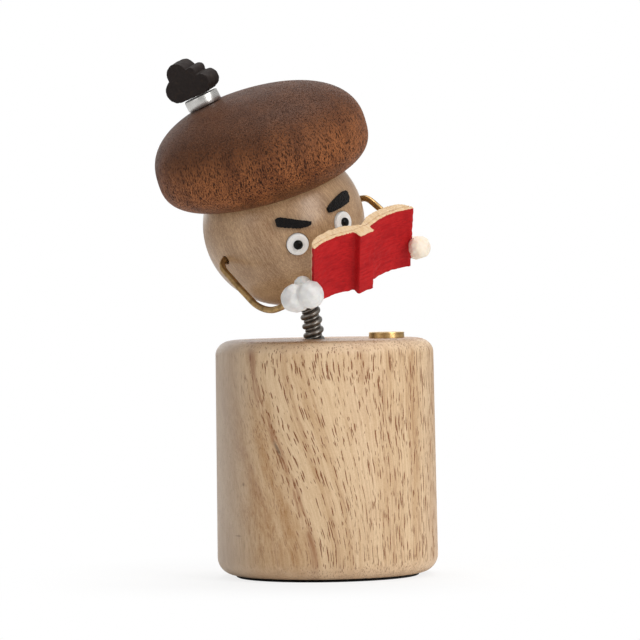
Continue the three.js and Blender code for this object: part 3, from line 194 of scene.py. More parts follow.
class Colours(bpy.types.PropertyGroup):
    base_pale: colour("Base, pale", "Palest wood of the base", "e2c6a1")
    base_deep: colour("Base, deep", "Darker bands of the base", "b08659")
    base_streak: colour("Base, streak", "Reddish streaks of the base", "935f3a")
    base_pore: colour("Base, pore", "Pore flecks of the base", "733712")
    head_pale: colour("Head, pale", "Palest wood of the head", "c4a27c")
    head_deep: colour("Head, deep", "Darker grain of the head", "8f6c4a")
    hat_pale: colour("Hat, pale", "Palest wood of the hat", "a9693e")
    hat_deep: colour("Hat, deep", "Darker bands of the hat", "4f2a18")
    hat_pore: colour("Hat, pore", "Pores of the hat", "1c0d06")
    works_wood: colour("Works, wood", "Plain wood of the works and the cover", "c9a274")
    book_red: colour("Book, red", "Red stain of the covers", "b81d1f")
    book_red_deep: colour("Book, deep red", "Red in the grain of the covers", "8a0c15")
    book_cream: colour("Book, cream", "Bare wood of the pages", "e0c49f")
    brass: colour("Brass", "Turned brass", "d3b27a")
    wire_brass: colour("Wire brass", "Aged brass of the arms", "b39160")
    steel: colour("Steel", "Steel of the coils", "8e8a84")
    nickel: colour("Nickel", "Plating of the magnet", "d2d0cc")
    black: colour("Black", "Paint of the cloud", "231b18")
    felt: colour("Felt", "Black felt of the eyebrows and the pad", "161414")
    hand: colour("Hands", "White of the moulded hands", "e2e0dd")
    eye: colour("Eyes", "White of the eye discs", "f4f3f1")


class AutomatonSettings(bpy.types.PropertyGroup):
    base: PointerProperty(type=BaseSizes)
    crank: PointerProperty(type=CrankSizes)
    neck: PointerProperty(type=NeckSizes)
    head: PointerProperty(type=HeadSizes)
    hat: PointerProperty(type=HatSizes)
    book: PointerProperty(type=BookSizes)
    colours: PointerProperty(type=Colours)


def settings():
    return bpy.context.scene.automaton


def within(value, low, high):
    return min(max(value, low), high)


# Places and directions on the leaning figure

def neck_place(along):
    """Point and directions on the neck's middle line, a length along it from the foot of the bend."""
    neck = settings().neck
    bent = within(along / neck.arc_length, 0, 1)
    radius = neck.arc_length / neck.lean
    turn = neck.lean * bent
    straight = along - bent * neck.arc_length
    sideways = radius * (1 - math.cos(turn)) + max(straight, 0) * math.sin(turn)
    up = radius * math.sin(turn) + straight * (math.cos(turn) if straight > 0 else 1)
    towards = Vector((math.cos(neck.lean_direction), math.sin(neck.lean_direction), 0))
    upward = Vector((0, 0, 1))
    point = Vector((settings().base.spindle_x, 0, neck.foot)) + towards * sideways + upward * up
    onward = upward * math.cos(turn) + towards * math.sin(turn)
    across = towards * math.cos(turn) - upward * math.sin(turn)
    aside = Vector((-math.sin(neck.lean_direction), math.cos(neck.lean_direction), 0))
    return point, onward, across, aside


def head_frame():
    neck, head = settings().neck, settings().head
    point, onward, _, aside = neck_place(neck.arc_length)
    lean = Matrix.Rotation(neck.lean, 4, aside)
    return Matrix.Translation(point + onward * head.radius) @ lean @ Matrix.Rotation(head.yaw, 4, "Z")


def standing(way):
    """The turn that brings Z to a direction."""
    return Vector((0, 0, 1)).rotation_difference(way).to_matrix().to_4x4()


def head_direction(turn, rise):
    turn, rise = math.radians(turn), math.radians(rise)
    return Vector((math.sin(turn) * math.cos(rise), -math.cos(turn) * math.cos(rise), math.sin(rise)))


def on_head(turn, rise):
    """Frame at the head's middle whose Z points out of the face at a turn and a rise, in degrees."""
    return head_frame() @ standing(head_direction(turn, rise))


def book_frame():
    book = settings().book
    frame_of_book = head_frame() @ Matrix.Translation((book.offset, -book.reach, -book.drop))
    for turn, axis in ((book.pitch, "X"), (book.swing, "Y"), (book.tilt, "Z")):
        frame_of_book = frame_of_book @ Matrix.Rotation(turn, 4, axis)
    return frame_of_book


def crown_at(radius):
    """Height of the hat's crown over the head's middle, at a distance from the hat's axis."""
    hat = settings().hat
    share = (radius / hat.radius) ** hat.crown_power
    return hat.rim_height + hat.crown_height * (1 - share) ** (1 / hat.crown_power)


def magnet_frame():
    """Frame on the crown under the magnet, with Z out of the hat."""
    hat = settings().hat
    step = hat.seat_depth
    drop = crown_at(hat.magnet_circle - step) - crown_at(hat.magnet_circle + step)
    slope = math.atan2(drop, 2 * step)
    outward = head_direction(math.degrees(hat.magnet_direction), 0)
    normal = outward * math.sin(slope) + Vector((0, 0, math.cos(slope)))
    point = outward * hat.magnet_circle + Vector((0, 0, crown_at(hat.magnet_circle)))
    return head_frame() @ Matrix.Translation(point) @ standing(normal)


def crank_frame():
    """Frame of the crank, with Z along its axis to the back and Y down its arm."""
    place = Matrix.Translation((settings().base.spindle_x, 0, settings().crank.axis_height))
    return place @ Matrix.Rotation(-math.pi / 2, 4, "X")


def crank_stations():
    """Distances along the crank's axis: the spot, the flange's face, the arm's two faces and the knob."""
    base, crank = settings().base, settings().crank
    spot = math.sqrt(base.top_radius ** 2 - base.spindle_x ** 2) - crank.spot_depth
    flange = spot + GAP + crank.flange_thickness
    arm = flange + 2 * GAP
    return spot, flange, arm, arm + crank.arm_thickness, arm + crank.arm_thickness + 2 * GAP


# Modelling

def all_off():
    """Nothing selected, so that an operator acts on the new piece alone."""
    if bpy.context.mode != "OBJECT":
        bpy.ops.object.mode_set(mode="OBJECT")
    bpy.ops.object.select_all(action="DESELECT")


def pick(*pieces):
    all_off()
    for piece in pieces:
        piece.select_set(True)
    bpy.context.view_layer.objects.active = pieces[0]


def edit(piece, select="SELECT"):
    pick(piece)
    bpy.ops.object.mode_set(mode="EDIT")
    bpy.ops.mesh.select_all(action=select)


def outward():
    """Turns every face of the mesh in edit mode outwards, and leaves that mode."""
    bpy.ops.mesh.select_all(action="SELECT")
    bpy.ops.mesh.normals_make_consistent(inside=False)
    all_off()


def place(piece, matrix):
    """Puts a piece made at the origin in its place, which goes into its mesh."""
    piece.matrix_world = matrix
    pick(piece)
    bpy.ops.object.transform_apply(location=True, rotation=True, scale=True)
    return piece


def moved(piece, x, y, z=0.0):
    return place(piece, Matrix.Translation((x, y, z)))


def made(primitive, **values):
    """A new primitive with its place and size in its mesh."""
    all_off()
    primitive(**values)
    bpy.ops.object.transform_apply(location=True, rotation=True, scale=True)
    return bpy.context.object


def plate(radius, segments, middle=(0, 0, 0)):
    circle = bpy.ops.mesh.primitive_circle_add
    return made(circle, vertices=segments, radius=radius, fill_type="NGON", location=middle)


def block(sizes, middle):
    return made(bpy.ops.mesh.primitive_cube_add, size=1, location=middle, scale=sizes)


def drawn(*way):
    """Draws the selected faces of the mesh in edit mode out."""
    bpy.ops.mesh.extrude_region_move(TRANSFORM_OT_translate={"value": way})


def turned(stations, segments=96):
    """A turned piece: a filled circle drawn up through its (radius, height) stations."""
    radius, height = stations[0]
    piece = plate(radius, segments, (0, 0, height))
    edit(piece)
    for next_radius, next_height in stations[1:]:
        drawn(0, 0, next_height - height)
        grow = next_radius / radius
        bpy.ops.transform.resize(value=(grow, grow, 1), center_override=(0, 0, next_height))
        radius, height = next_radius, next_height
    outward()
    return piece


def near(radius, height, *steps):
    """Stations at steps in millimetres from a radius and a height."""
    return [(radius + a * MM, height + b * MM) for a, b in steps]


def rod(radius, low, high, segments=48):
    return turned([(radius, low), (radius, high)], segments)


def drill(radius, low, high, segments=48):
    """A cutter that reaches past both ends."""
    return rod(radius, low - MM, high + MM, segments)


def flared_rod(radius, low, high, flare, segments=64):
    """A cutter whose far end opens out, so that the hole it cuts has a broken edge."""
    return turned([
        (radius, low), (radius, high - flare), (radius + flare, high), (radius + flare, high + MM),
    ], segments)


def changed(piece, kind, **values):
    """Gives a piece a modifier with the given settings, and applies it."""
    change = piece.modifiers.new(kind.title(), kind)
    for key, value in values.items():
        setattr(change, key, value)
    pick(piece)
    bpy.ops.object.modifier_apply(modifier=change.name)
    return piece


def carve(piece, *tools):
    for tool in tools:
        changed(piece, "BOOLEAN", operation="DIFFERENCE", solver="EXACT", object=tool)
        bpy.data.objects.remove(tool, do_unlink=True)
    return piece


def melt(piece, rounds):
    """Remeshes a piece that was put together from several into one skin, and wears its edges down."""
    changed(piece, "REMESH", mode="VOXEL", voxel_size=0.2 * MM)
    return changed(piece, "SMOOTH", iterations=rounds, factor=0.5)


def rough_up(piece, amount, grain, seed=0.0, reach=lambda co: 1):
    """Moves the skin in and out by smooth noise, by an amount and over a grain size."""
    shift = Vector((seed, 2 * seed, -seed))
    normals = [vertex.normal.copy() for vertex in piece.data.vertices]
    for vertex, normal in zip(piece.data.vertices, normals):
        strength = reach(vertex.co)
        if strength:
            vertex.co += normal * amount * strength * noise.noise(vertex.co / grain + shift)
    return piece


def joined(*pieces):
    pick(*pieces)
    bpy.ops.object.join()
    return pieces[0]


def smooth_path(knots, steps):
    """Points on a centripetal curve through the knots, with the given steps between two knots."""
    knots = [2 * knots[0] - knots[1], *knots, 2 * knots[-1] - knots[-2]]
    path = []
    for before, start, end, after in zip(knots, knots[1:], knots[2:], knots[3:]):
        gaps = [math.sqrt((b - a).length) for a, b in ((before, start), (start, end), (end, after))]
        leave = (start - before) / gaps[0] - (end - before) / (gaps[0] + gaps[1]) + (end - start) / gaps[1]
        arrive = (end - start) / gaps[1] - (after - start) / (gaps[1] + gaps[2]) + (after - end) / gaps[2]
        leave, arrive = leave * gaps[1], arrive * gaps[1]
        for k in range(steps):
            t = k / steps
            bend = (-3 * start + 3 * end - 2 * leave - arrive) * t * t
            path.append(start + leave * t + bend + (2 * start - 2 * end + leave + arrive) * t * t * t)
    return [*path, knots[-2]]


def wire(points, radius, sides):
    """A round wire along points, closed at both ends."""
    line = bpy.data.curves.new("Wire", "CURVE")
    line.dimensions = "3D"
    line.bevel_depth = radius
    line.bevel_resolution = sides
    line.use_fill_caps = True
    strand = line.splines.new("POLY")
    strand.points.add(len(points) - 1)
    for knot, point in zip(strand.points, points):
        knot.co = (*point, 1)
    piece = bpy.data.objects.new("Wire", line)
    bpy.context.collection.objects.link(piece)
    pick(piece)
    bpy.ops.object.convert(target="MESH")
    piece = bpy.context.object
    edit(piece)
    bpy.ops.mesh.remove_doubles(threshold=1e-7)
    outward()
    return piece


def clad(piece, name, finish, least):
    """Names a finished piece, shades it smooth but for edges of a least angle, and gives it its finish."""
    pick(piece)
    bpy.ops.object.shade_smooth_by_angle(angle=math.radians(least), keep_sharp_edges=False)
    piece.name = piece.data.name = name
    piece.data.materials.clear()
    piece.data.materials.append(finish)


def settle(piece, name, body, finish, node, least=32):
    """Finishes a piece and seats it on its body in place of its node."""
    clad(piece, name, finish, least)
    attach(piece, body)
    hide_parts(node)


def dress(finish, *nodes):
    """Gives carried-over pieces of the frame their finish."""
    for name in nodes:
        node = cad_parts[name]
        if not node.material_slots:
            raise RuntimeError(f"{name} has no material slot")
        for slot in node.material_slots:
            slot.link = "OBJECT"
            slot.material = finish


# Finishes

def tones():
    return settings().colours


class Nodes:
    """The shader nodes of a material or a world."""

    def __init__(self, owner):
        owner.use_nodes = True
        self.tree = owner.node_tree
        self.tree.nodes.clear()

    def add(self, kind, feeds=None, **values):
        node = self.tree.nodes.new(kind)
        for key, value in values.items():
            setattr(node, key, value)
        for key, value in (feeds or {}).items():
            self.feed(node.inputs[key], value)
        return node

    def feed(self, socket, value):
        if isinstance(value, bpy.types.NodeSocket):
            self.tree.links.new(value, socket)
        elif socket.type == "RGBA":
            socket.default_value = (*value[:3], 1)
        else:
            socket.default_value = value


class Finish(Nodes):
    """A material put together from shader nodes, in millimetres on the piece it is for."""

    def __init__(self, name, home=None):
        self.material = bpy.data.materials.new(name)
        super().__init__(self.material)
        self.surface = self.add("ShaderNodeBsdfPrincipled")
        self.ending = self.add("ShaderNodeOutputMaterial", {0: self.surface.outputs[0]})
        self.coordinates = self.add("ShaderNodeTexCoord").outputs
        home = home or Matrix()
        self.spot = self.mapped(
            self.coordinates["Object"], (MM, MM, MM), home.translation, home.to_euler(), "TEXTURE"
        )

    def set(self, **values):
        """Sets or links the surface's own sockets, whose names have spaces for underscores."""
        for key, value in values.items():
            self.feed(self.surface.inputs[key.replace("_", " ")], value)
        return self.material

    def mapped(self, vector, scale, move, turn, way="POINT"):
        feeds = {"Vector": vector, "Scale": scale, "Location": move, "Rotation": turn}
        return self.add("ShaderNodeMapping", feeds, vector_type=way).outputs[0]

    def scaled(self, vector, x, y, z, move=(0, 0, 0), turn=(0, 0, 0)):
        return self.mapped(vector, (x, y, z), move, turn)

    def rolled(self, vector, *turn):
        return self.mapped(vector, (1, 1, 1), (0, 0, 0), turn)

    def parts(self, vector):
        return self.add("ShaderNodeSeparateXYZ", {0: vector}).outputs

    def vectors(self, operation, a, b):
        return self.add("ShaderNodeVectorMath", {0: a, 1: b}, operation=operation).outputs

    def maths(self, operation, a, b=0.0, c=0.0):
        return self.add("ShaderNodeMath", {0: a, 1: b, 2: c}, operation=operation).outputs[0]

    def times(self, a, b, plus=0.0):
        return self.maths("MULTIPLY_ADD", a, b, plus)

    def total(self, first, *others):
        for other in others:
            first = self.maths("ADD", first, other)
        return first

    def weighed(self, *pairs):
        """The sum of values, each times its weight."""
        return self.total(*(self.times(value, weight) for value, weight in pairs))

    def most(self, first, *others):
        for other in others:
            first = self.maths("MAXIMUM", first, other)
        return first

    def ease(self, value, start, end, low=0.0, high=1.0):
        """A soft step of a value, from low at its start to high at its end."""
        return self.add(
            "ShaderNodeMapRange",
            {"Value": value, "From Min": start, "From Max": end, "To Min": low, "To Max": high},
            interpolation_type="SMOOTHSTEP",
        ).outputs[0]

    def shades(self, *steps):
        """The sum of soft steps, each of a value from its start to its end, up to its share."""
        return self.total(*(self.ease(value, start, end, 0.0, share) for value, start, end, share in steps))

    def noise(self, vector, scale=1.0, detail=2.0, roughness=0.5, distortion=0.0):
        return self.add("ShaderNodeTexNoise", {
            "Vector": vector, "Scale": scale, "Detail": detail, "Roughness": roughness,
            "Distortion": distortion,
        }).outputs["Fac"]

    def grain(self, vector, x, y, z, move=(0, 0, 0), detail=2.0, roughness=0.5):
        """Noise squeezed by a factor along each axis."""
        return self.noise(self.scaled(vector, x, y, z, move), detail=detail, roughness=roughness)

    def wander(self, vector, scale, amount):
        """The vector moved about by smooth noise, by at most about half the amount each way."""
        cloud = self.add("ShaderNodeTexNoise", {"Vector": vector, "Scale": scale, "Detail": 1.0})
        middled = self.vectors("SUBTRACT", cloud.outputs["Color"], (0.5, 0.5, 0.5))[0]
        step = self.vectors("MULTIPLY", middled, (amount, amount, amount))[0]
        return self.vectors("ADD", vector, step)[0]

    def mixed(self, share, a, b):
        return self.add("ShaderNodeMix", {0: share, 6: a, 7: b}, data_type="RGBA").outputs[2]

    def layered(self, base, *layers):
        """A colour with others over it, each at its share."""
        for share, over in layers:
            base = self.mixed(share, base, over)
        return base

    def relief(self, height, depth, strength):
        """A bump from a height between 0 and 1, of a depth in millimetres."""
        return self.add("ShaderNodeBump", {
            "Height": height, "Distance": depth * MM, "Strength": strength,
        }).outputs[0]

    def rough(self, value, low, high):
        """A roughness that follows a noise."""
        return self.ease(value, 0.3, 0.7, low, high)

    def dashes(self, vector, wide, long, least, most, share, seed=(0, 0, 0)):
        """Pores as long thin grains: 1 inside one, 0 between them."""
        cells = self.add("ShaderNodeTexVoronoi", {
            "Vector": self.scaled(vector, 1 / wide, 1 / wide, 1 / long, seed), "Scale": 1.0,
            "Randomness": 1.0,
        })
        lot = self.parts(cells.outputs["Color"])
        size = self.times(lot[0], most - least, least)
        shown = self.maths("LESS_THAN", lot[1], share)
        inside = self.maths("DIVIDE", cells.outputs["Distance"], size)
        return self.times(self.ease(inside, 0.55, 1.0, 1.0, 0.0), shown)

    def pores(self, vector, *grains):
        return self.most(*(self.dashes(vector, *grain) for grain in grains))


def base_wood():
    """Pale wood whose fibres sweep down to the right, with brown pores, a red streak and a small knot."""
    tone = tones()
    f = Finish("Base wood")
    x, y, z = f.parts(f.spot)
    # The fibres stand upright at the top and sweep over on their way down, most of all on the left
    sweep = f.times(f.ease(x, -5.0, 26.0, 18.0, 2.0), f.ease(z, 68.0, 4.0))
    along = f.add("ShaderNodeCombineXYZ", {0: f.maths("SUBTRACT", x, sweep), 1: y, 2: z}).outputs[0]
    soft = f.wander(along, 0.05, 3.2)
    fine = f.wander(soft, 0.3, 0.7)
    sx = f.parts(soft)[0]
    fibre = f.grain(fine, 1.7, 1.7, 0.05, detail=4.0, roughness=0.62)
    band = f.grain(soft, 0.20, 0.20, 0.010, (3.1, 0.4, 0.9), 3.0)
    grit = f.noise(f.spot, 2.6, 3.0, 0.7)
    shade_of = f.shades(
        (fibre, 0.34, 0.66, 0.30), (band, 0.36, 0.66, 0.34), (grit, 0.35, 0.7, 0.18),
        (sx, -20.0, -27.0, 0.30),
    )
    # Thin upright lines on the right
    lines = f.grain(fine, 1.25, 1.25, 0.012, (0.0, 3.0, 0.0))
    lined = f.times(f.ease(lines, 0.50, 0.66), f.ease(x, 4.0, 15.0, 0.0, 0.38))
    wood = f.layered(tone.base_pale, (shade_of, tone.base_deep), (lined, tone.base_streak))
    # Reddish streaks, broken up along the fibres
    broken = f.ease(f.grain(fine, 0.8, 0.8, 0.05, (0.0, 7.0, 2.0), 3.0), 0.36, 0.62)
    for centre, half, strength in (
        (-21.6, 1.9, 0.80), (-32.5, 2.4, 0.30), (-12.5, 2.0, 0.26), (-6.5, 1.8, 0.16),
    ):
        off = f.maths("ABSOLUTE", f.maths("SUBTRACT", sx, centre))
        wood = f.mixed(f.times(f.ease(off, half, 0.0, 0.0, strength), broken), wood, tone.base_streak)
    # Pores: long flecks on the sides, dots on the end grain, few of them at the left
    pores = f.pores(
        fine, (0.62, 8.0, 0.24, 0.46, 0.70), (0.85, 11.0, 0.18, 0.34, 0.70, (5.3, 1.7, 2.2)),
        (0.50, 3.4, 0.18, 0.34, 0.4, (1.3, 8.7, 4.1)),
    )
    behind = f.ease(f.times(band, 30.0, y), 13.0, 40.0)
    pores = f.times(pores, f.most(f.ease(sx, -30.0, -18.0, 0.35, 1.0), behind))
    # The end grain on the top is darker; the rounded top and foot edges are painted paler, a painted
    # highlight along the top edge and painted bounce light from the floor at the foot; and the front of the
    # left side is greyer, pale grey wood with a painted reflection of the white surroundings
    upright = f.parts(f.coordinates["Normal"])[2]
    painted_edge_light = f.most(f.ease(z, 7.0, 2.0, 0.0, 0.34), f.ease(z, 65.4, 68.4, 0.0, 0.34))
    wood = f.layered(
        wood,
        (f.ease(upright, 0.80, 0.99, 0.0, 0.42), tone.base_streak),
        (f.times(pores, f.ease(grit, 0.3, 0.7, 0.65, 1.0)), tone.base_pore),
        # Painted light: paler rounded edges, a painted highlight on the top edge and painted floor bounce
        # at the foot
        (f.times(painted_edge_light, f.ease(upright, 0.97, 0.85)), (0.90, 0.70, 0.50)),
        # Painted reflection: the front of the left side is greyed, a reflection of the white surroundings
        # over its paler grey wood
        (f.times(f.ease(x, -17.0, -31.0, 0.0, 0.60), f.times(behind, -0.75, 1.0)), (0.50, 0.425, 0.355)),
    )
    # A dark streak along the fibres, a speck, and the fine cracks of a knot near the foot
    for spot, middle, squeeze, strength in (
        (soft, (-21.9, 0.0, 38.5), (2.0, 0.0, 0.5), 0.7),
        (f.spot, (-24.0, -21.2, 28.5), (2.2, 1.4, 1.6), 0.7),
        (f.spot, (-25.9, -19.5, 13.4), (0.9, 0.5, 4.0), 0.34),
        (f.spot, (-24.2, -21.2, 10.6), (4.4, 1.0, 0.8), 0.30),
    ):
        squeezed = f.vectors("MULTIPLY", f.vectors("SUBTRACT", spot, middle)[0], squeeze)[0]
        away = f.times(grit, 1.2, f.vectors("LENGTH", squeezed, (0, 0, 0))["Value"])
        wood = f.mixed(f.ease(away, 1.0, 2.1, strength, 0.0), wood, (0.10, 0.055, 0.035))
    return f.set(
        Base_Color=wood,
        Roughness=f.times(pores, 0.2, f.times(grit, 0.24, 0.30)),
        Normal=f.relief(f.weighed((pores, -0.75), (fibre, 0.25), (grit, 0.18)), 0.16, 0.7),
        Specular_IOR_Level=f.times(pores, -0.28, 0.35),
    )


def turned_wood(name, home, pale, deep, pore, pore_size, depth, gloss, contrast):
    """Wood of a small turned piece, with its fibres along the piece's Y."""
    f = Finish(name, home)
    soft = f.wander(f.rolled(f.spot, math.pi / 2, 0, 0), 0.07, 4.0)
    fine = f.wander(soft, 0.5, 0.4)
    fibre = f.grain(fine, 3.0, 3.0, 0.1, detail=4.0, roughness=0.6)
    band = f.grain(soft, 0.24, 0.24, 0.02, (1.7, 5.0, 0.3))
    rings = f.add("ShaderNodeTexWave", {
        "Vector": f.scaled(soft, 1, 1, 1, (21.0, 16.0, 0.0), (0.12, 0.08, 0)),
        "Scale": 0.085, "Distortion": 2.4, "Detail": 2.0, "Detail Scale": 0.1,
    }, wave_type="RINGS", rings_direction="Z", wave_profile="SAW").outputs["Fac"]
    ring_line = f.times(f.ease(rings, 0.3, 0.95), f.ease(rings, 0.97, 1.0, 1.0, 0.0))
    shade_of = f.total(
        f.shades((fibre, 0.3, 0.7, 0.4 * contrast), (band, 0.36, 0.66, 0.4 * contrast)),
        f.times(ring_line, 0.3 * contrast),
    )
    wide, long = pore_size
    pores = f.pores(
        fine, (wide, long, 0.06, 0.26, 0.8), (wide * 0.7, long * 0.6, 0.05, 0.2, 0.5, (3.3, 1.1, 6.2)),
    )
    return f.set(
        Base_Color=f.layered(pale, (shade_of, deep), (f.times(pores, depth), pore)),
        Roughness=f.times(pores, 0.25, f.times(fibre, 0.12, gloss)),
        Normal=f.relief(f.weighed((pores, -0.8), (fibre, 0.2)), 0.09, 0.5),
        Specular_IOR_Level=0.4,
    )


def head_wood():
    """Smooth beech, with hardly any figure and a light flecking."""
    tone = tones()
    f = Finish("Head wood", head_frame())
    soft = f.wander(f.rolled(f.spot, 0.25, 0.1, 0), 0.06, 4.0)
    fine = f.wander(soft, 0.5, 0.5)
    fibre = f.grain(fine, 2.6, 2.6, 0.16, detail=4.0, roughness=0.66)
    cloudy = f.grain(soft, 0.16, 0.16, 0.05)
    grit = f.noise(f.spot, 3.0, 3.0, 0.75)
    shade_of = f.shades((fibre, 0.36, 0.64, 0.52), (cloudy, 0.36, 0.66, 0.32), (grit, 0.38, 0.66, 0.34))
    flecks = f.pores(fine, (0.55, 1.8, 0.16, 0.30, 0.75), (0.40, 1.0, 0.16, 0.3, 0.5, (2.0, 6.0, 1.0)))
    return f.set(
        Base_Color=f.layered(
            tone.head_pale, (shade_of, tone.head_deep), (f.times(flecks, 0.46), tone.base_streak),
        ),
        Roughness=f.times(grit, 0.24, 0.22),
        Normal=f.relief(f.weighed((flecks, -0.4), (grit, 0.4)), 0.10, 0.6),
        Specular_IOR_Level=0.6,
    )


def hat_wood():
    """Dark oiled wood: a speckled greyish crown, and a warmer lower half with dense black pores."""
    tone = tones()
    f = Finish("Hat wood", head_frame())
    z = f.parts(f.spot)[2]
    soft = f.wander(f.rolled(f.spot, 0.12, -0.1, 0), 0.06, 4.0)
    fine = f.wander(soft, 0.5, 0.6)
    fibre = f.grain(fine, 2.2, 2.2, 0.2, detail=4.0, roughness=0.65)
    band = f.grain(soft, 0.13, 0.13, 0.03, (4.0, 1.0, 2.0), 3.0)
    grit = f.noise(f.spot, 3.0, 3.0, 0.8)
    worn = f.noise(f.spot, 0.07, 3.0, 0.55)
    shade_of = f.shades((fibre, 0.34, 0.66, 0.30), (band, 0.38, 0.64, 0.36), (grit, 0.42, 0.60, 0.62))
    # The crown is greyer, the lower half warmer, and one patch on the right warmest
    height_of = f.times(worn, 12.0, z)
    away = f.vectors("DISTANCE", f.scaled(f.spot, 1, 1, 1.3), (12.0, -27.0, 27.0))["Value"]
    pores = f.pores(
        fine, (0.44, 1.7, 0.26, 0.50, 0.9), (0.58, 2.2, 0.18, 0.40, 0.9, (7.0, 2.0, 5.0)),
        (0.40, 1.1, 0.22, 0.40, 0.8, (3.3, 1.1, 6.2)),
    )
    lint = f.ease(f.noise(f.spot, 3.0, 2.0, 0.8), 0.54, 0.62)
    wood = f.layered(
        tone.hat_pale,
        (shade_of, tone.hat_deep),
        (f.ease(height_of, 27.0, 42.0, 0.0, 0.78), (0.048, 0.019, 0.010)),
        (f.ease(height_of, 25.0, 15.0, 0.0, 0.35), (0.27, 0.145, 0.062)),
        (f.ease(f.times(worn, 10.0, away), 7.0, 19.0, 0.16, 0.0), (0.36, 0.135, 0.050)),
        (f.times(pores, f.ease(height_of, 44.0, 26.0, 0.55, 0.95)), tone.hat_pore),
        (f.times(lint, f.ease(z, 22.0, 36.0, 0.16, 0.46)), (0.30, 0.145, 0.080)),
    )
    return f.set(
        Base_Color=wood,
        Roughness=f.total(f.weighed((pores, 0.2), (grit, 0.24)), 0.40),
        Normal=f.relief(f.weighed((pores, -0.8), (grit, 0.45)), 0.20, 0.9),
        Specular_IOR_Level=0.11,
    )


def works_wood():
    tone = tones()
    tints = (tone.works_wood, tone.base_deep, tone.base_pore)
    return turned_wood("Works wood", Matrix(), *tints, (0.9, 3.0), 0.4, 0.55, 0.8)


def crank_wood(name, pale, deep):
    return turned_wood(name, crank_frame(), pale, deep, tones().hat_pore, (0.7, 2.4), 0.5, 0.4, 0.9)


def metal(name, home, tint, roughness, spread, scratches, tarnish=0.0, tarnish_tint=(0.1, 0.06, 0.02)):
    """Bare metal with fine lines round or along it, smudges and, where asked, dark tarnish."""
    f = Finish(name, home)
    smudge = f.noise(f.spot, 0.6, 3.0, 0.6)
    lines = f.grain(f.spot, *scratches, roughness=0.7)
    return f.set(
        Base_Color=f.mixed(f.ease(smudge, 0.38, 0.68, 0.0, tarnish), tint, tarnish_tint),
        Metallic=1.0,
        Roughness=f.total(f.weighed((smudge, spread), (lines, spread)), roughness),
        Normal=f.relief(lines, 0.012, 0.5),
    )


def brass(name="Turned brass", home=None, scratches=(0.4, 0.4, 9.0)):
    return metal(name, home, tones().brass, 0.16, 0.16, scratches, 0.35, (0.22, 0.12, 0.04))


def felt(name, home, tint):
    """Dense felt: matte, with a fuzz of short fibres."""
    f = Finish(name, home)
    fuzz = f.noise(f.spot, 5.5, 4.0, 0.75, 1.2)
    lint = f.ease(f.noise(f.spot, 9.0, 2.0, 0.8, 3.0), 0.60, 0.72, 0.0, 0.30)
    return f.set(
        Base_Color=f.layered([c * 0.55 for c in tint], (fuzz, tint), (lint, (0.09, 0.08, 0.075))),
        Roughness=0.95, Sheen_Weight=0.1, Sheen_Roughness=0.5,
        Normal=f.relief(fuzz, 0.28, 0.8), Specular_IOR_Level=0.2,
    )


def rubber():
    f = Finish("Rubber")
    grain = f.noise(f.spot, 3.0, 3.0)
    return f.set(
        Base_Color=f.mixed(grain, (0.010, 0.010, 0.010), (0.028, 0.027, 0.026)),
        Roughness=f.rough(grain, 0.6, 0.8), Normal=f.relief(grain, 0.05, 0.4),
    )


def black_paint(name, home, gloss, grain_depth):
    """Black paint that has soaked into cut wood."""
    f = Finish(name, home)
    grain = f.grain(f.spot, 1.4, 1.4, 0.5, detail=4.0, roughness=0.65)
    thin = f.ease(f.noise(f.spot, 0.8, 3.0), 0.52, 0.72, 0.0, 0.6)
    return f.set(
        Base_Color=f.mixed(thin, tones().black, (0.030, 0.018, 0.012)),
        Roughness=f.rough(grain, gloss, gloss + 0.12),
        Normal=f.relief(grain, grain_depth, 0.6), Specular_IOR_Level=0.22,
    )


def hand_white():
    """Moulded white modelling clay, greyer on the left and creamier on the right, the cream partly the
    clay's own tint and partly painted warm light.
    """
    tint = tones().hand
    f = Finish("Hand white", book_frame())
    lumps = f.noise(f.spot, 0.5, 3.0, 0.55)
    prints = f.grain(f.spot, 1.8, 1.8, 3.2, detail=3.0, roughness=0.6)
    # The right hand is painted brighter and creamier than the left: partly the clay's own tint, partly
    # painted warm light from the right
    side = f.ease(f.parts(f.spot)[0], -5.0, 5.0)
    cream = f.mixed(side, [c * 0.80 for c in tint], (0.82, 0.70, 0.55))
    clay = f.mixed(side, tint, (0.87, 0.77, 0.64))
    return f.set(
        Base_Color=f.mixed(f.ease(lumps, 0.35, 0.7, 0.0, 0.7), clay, cream),
        Roughness=f.rough(prints, 0.42, 0.58),
        Subsurface_Weight=0.3, Subsurface_Radius=(1.0, 0.75, 0.55), Subsurface_Scale=1.2 * MM,
        Normal=f.relief(f.times(prints, 0.3, lumps), 0.15, 0.5),
    )


def eye_white():
    f = Finish("Eye white", head_frame())
    wear = f.noise(f.spot, 1.2, 3.0)
    return f.set(
        Base_Color=f.mixed(f.ease(wear, 0.4, 0.75, 0.0, 0.3), tones().eye, (0.80, 0.78, 0.74)),
        Roughness=f.rough(wear, 0.34, 0.46), Normal=f.relief(wear, 0.04, 0.4),
    )


def pupil_black():
    f = Finish("Pupil black", head_frame())
    wear = f.noise(f.spot, 1.6, 2.0)
    return f.set(
        Base_Color=f.mixed(wear, (0.004, 0.004, 0.004), (0.012, 0.011, 0.011)),
        Roughness=f.rough(wear, 0.16, 0.26), Specular_IOR_Level=0.12,
    )


def cream_wood(f):
    """Bare pale wood with torn fibres across its end: its colour and its fibres."""
    tint = tones().book_cream
    torn = f.grain(f.spot, 2.2, 0.5, 1.4, detail=4.0, roughness=0.65)
    shaded = [c * k for c, k in zip(tint, (0.86, 0.76, 0.62))]
    fine = f.ease(f.noise(f.spot, 1.4, 3.0), 0.60, 0.75, 0.0, 0.22)
    return f.layered(tint, (f.ease(torn, 0.35, 0.7), shaded), (fine, (0.42, 0.24, 0.13))), torn


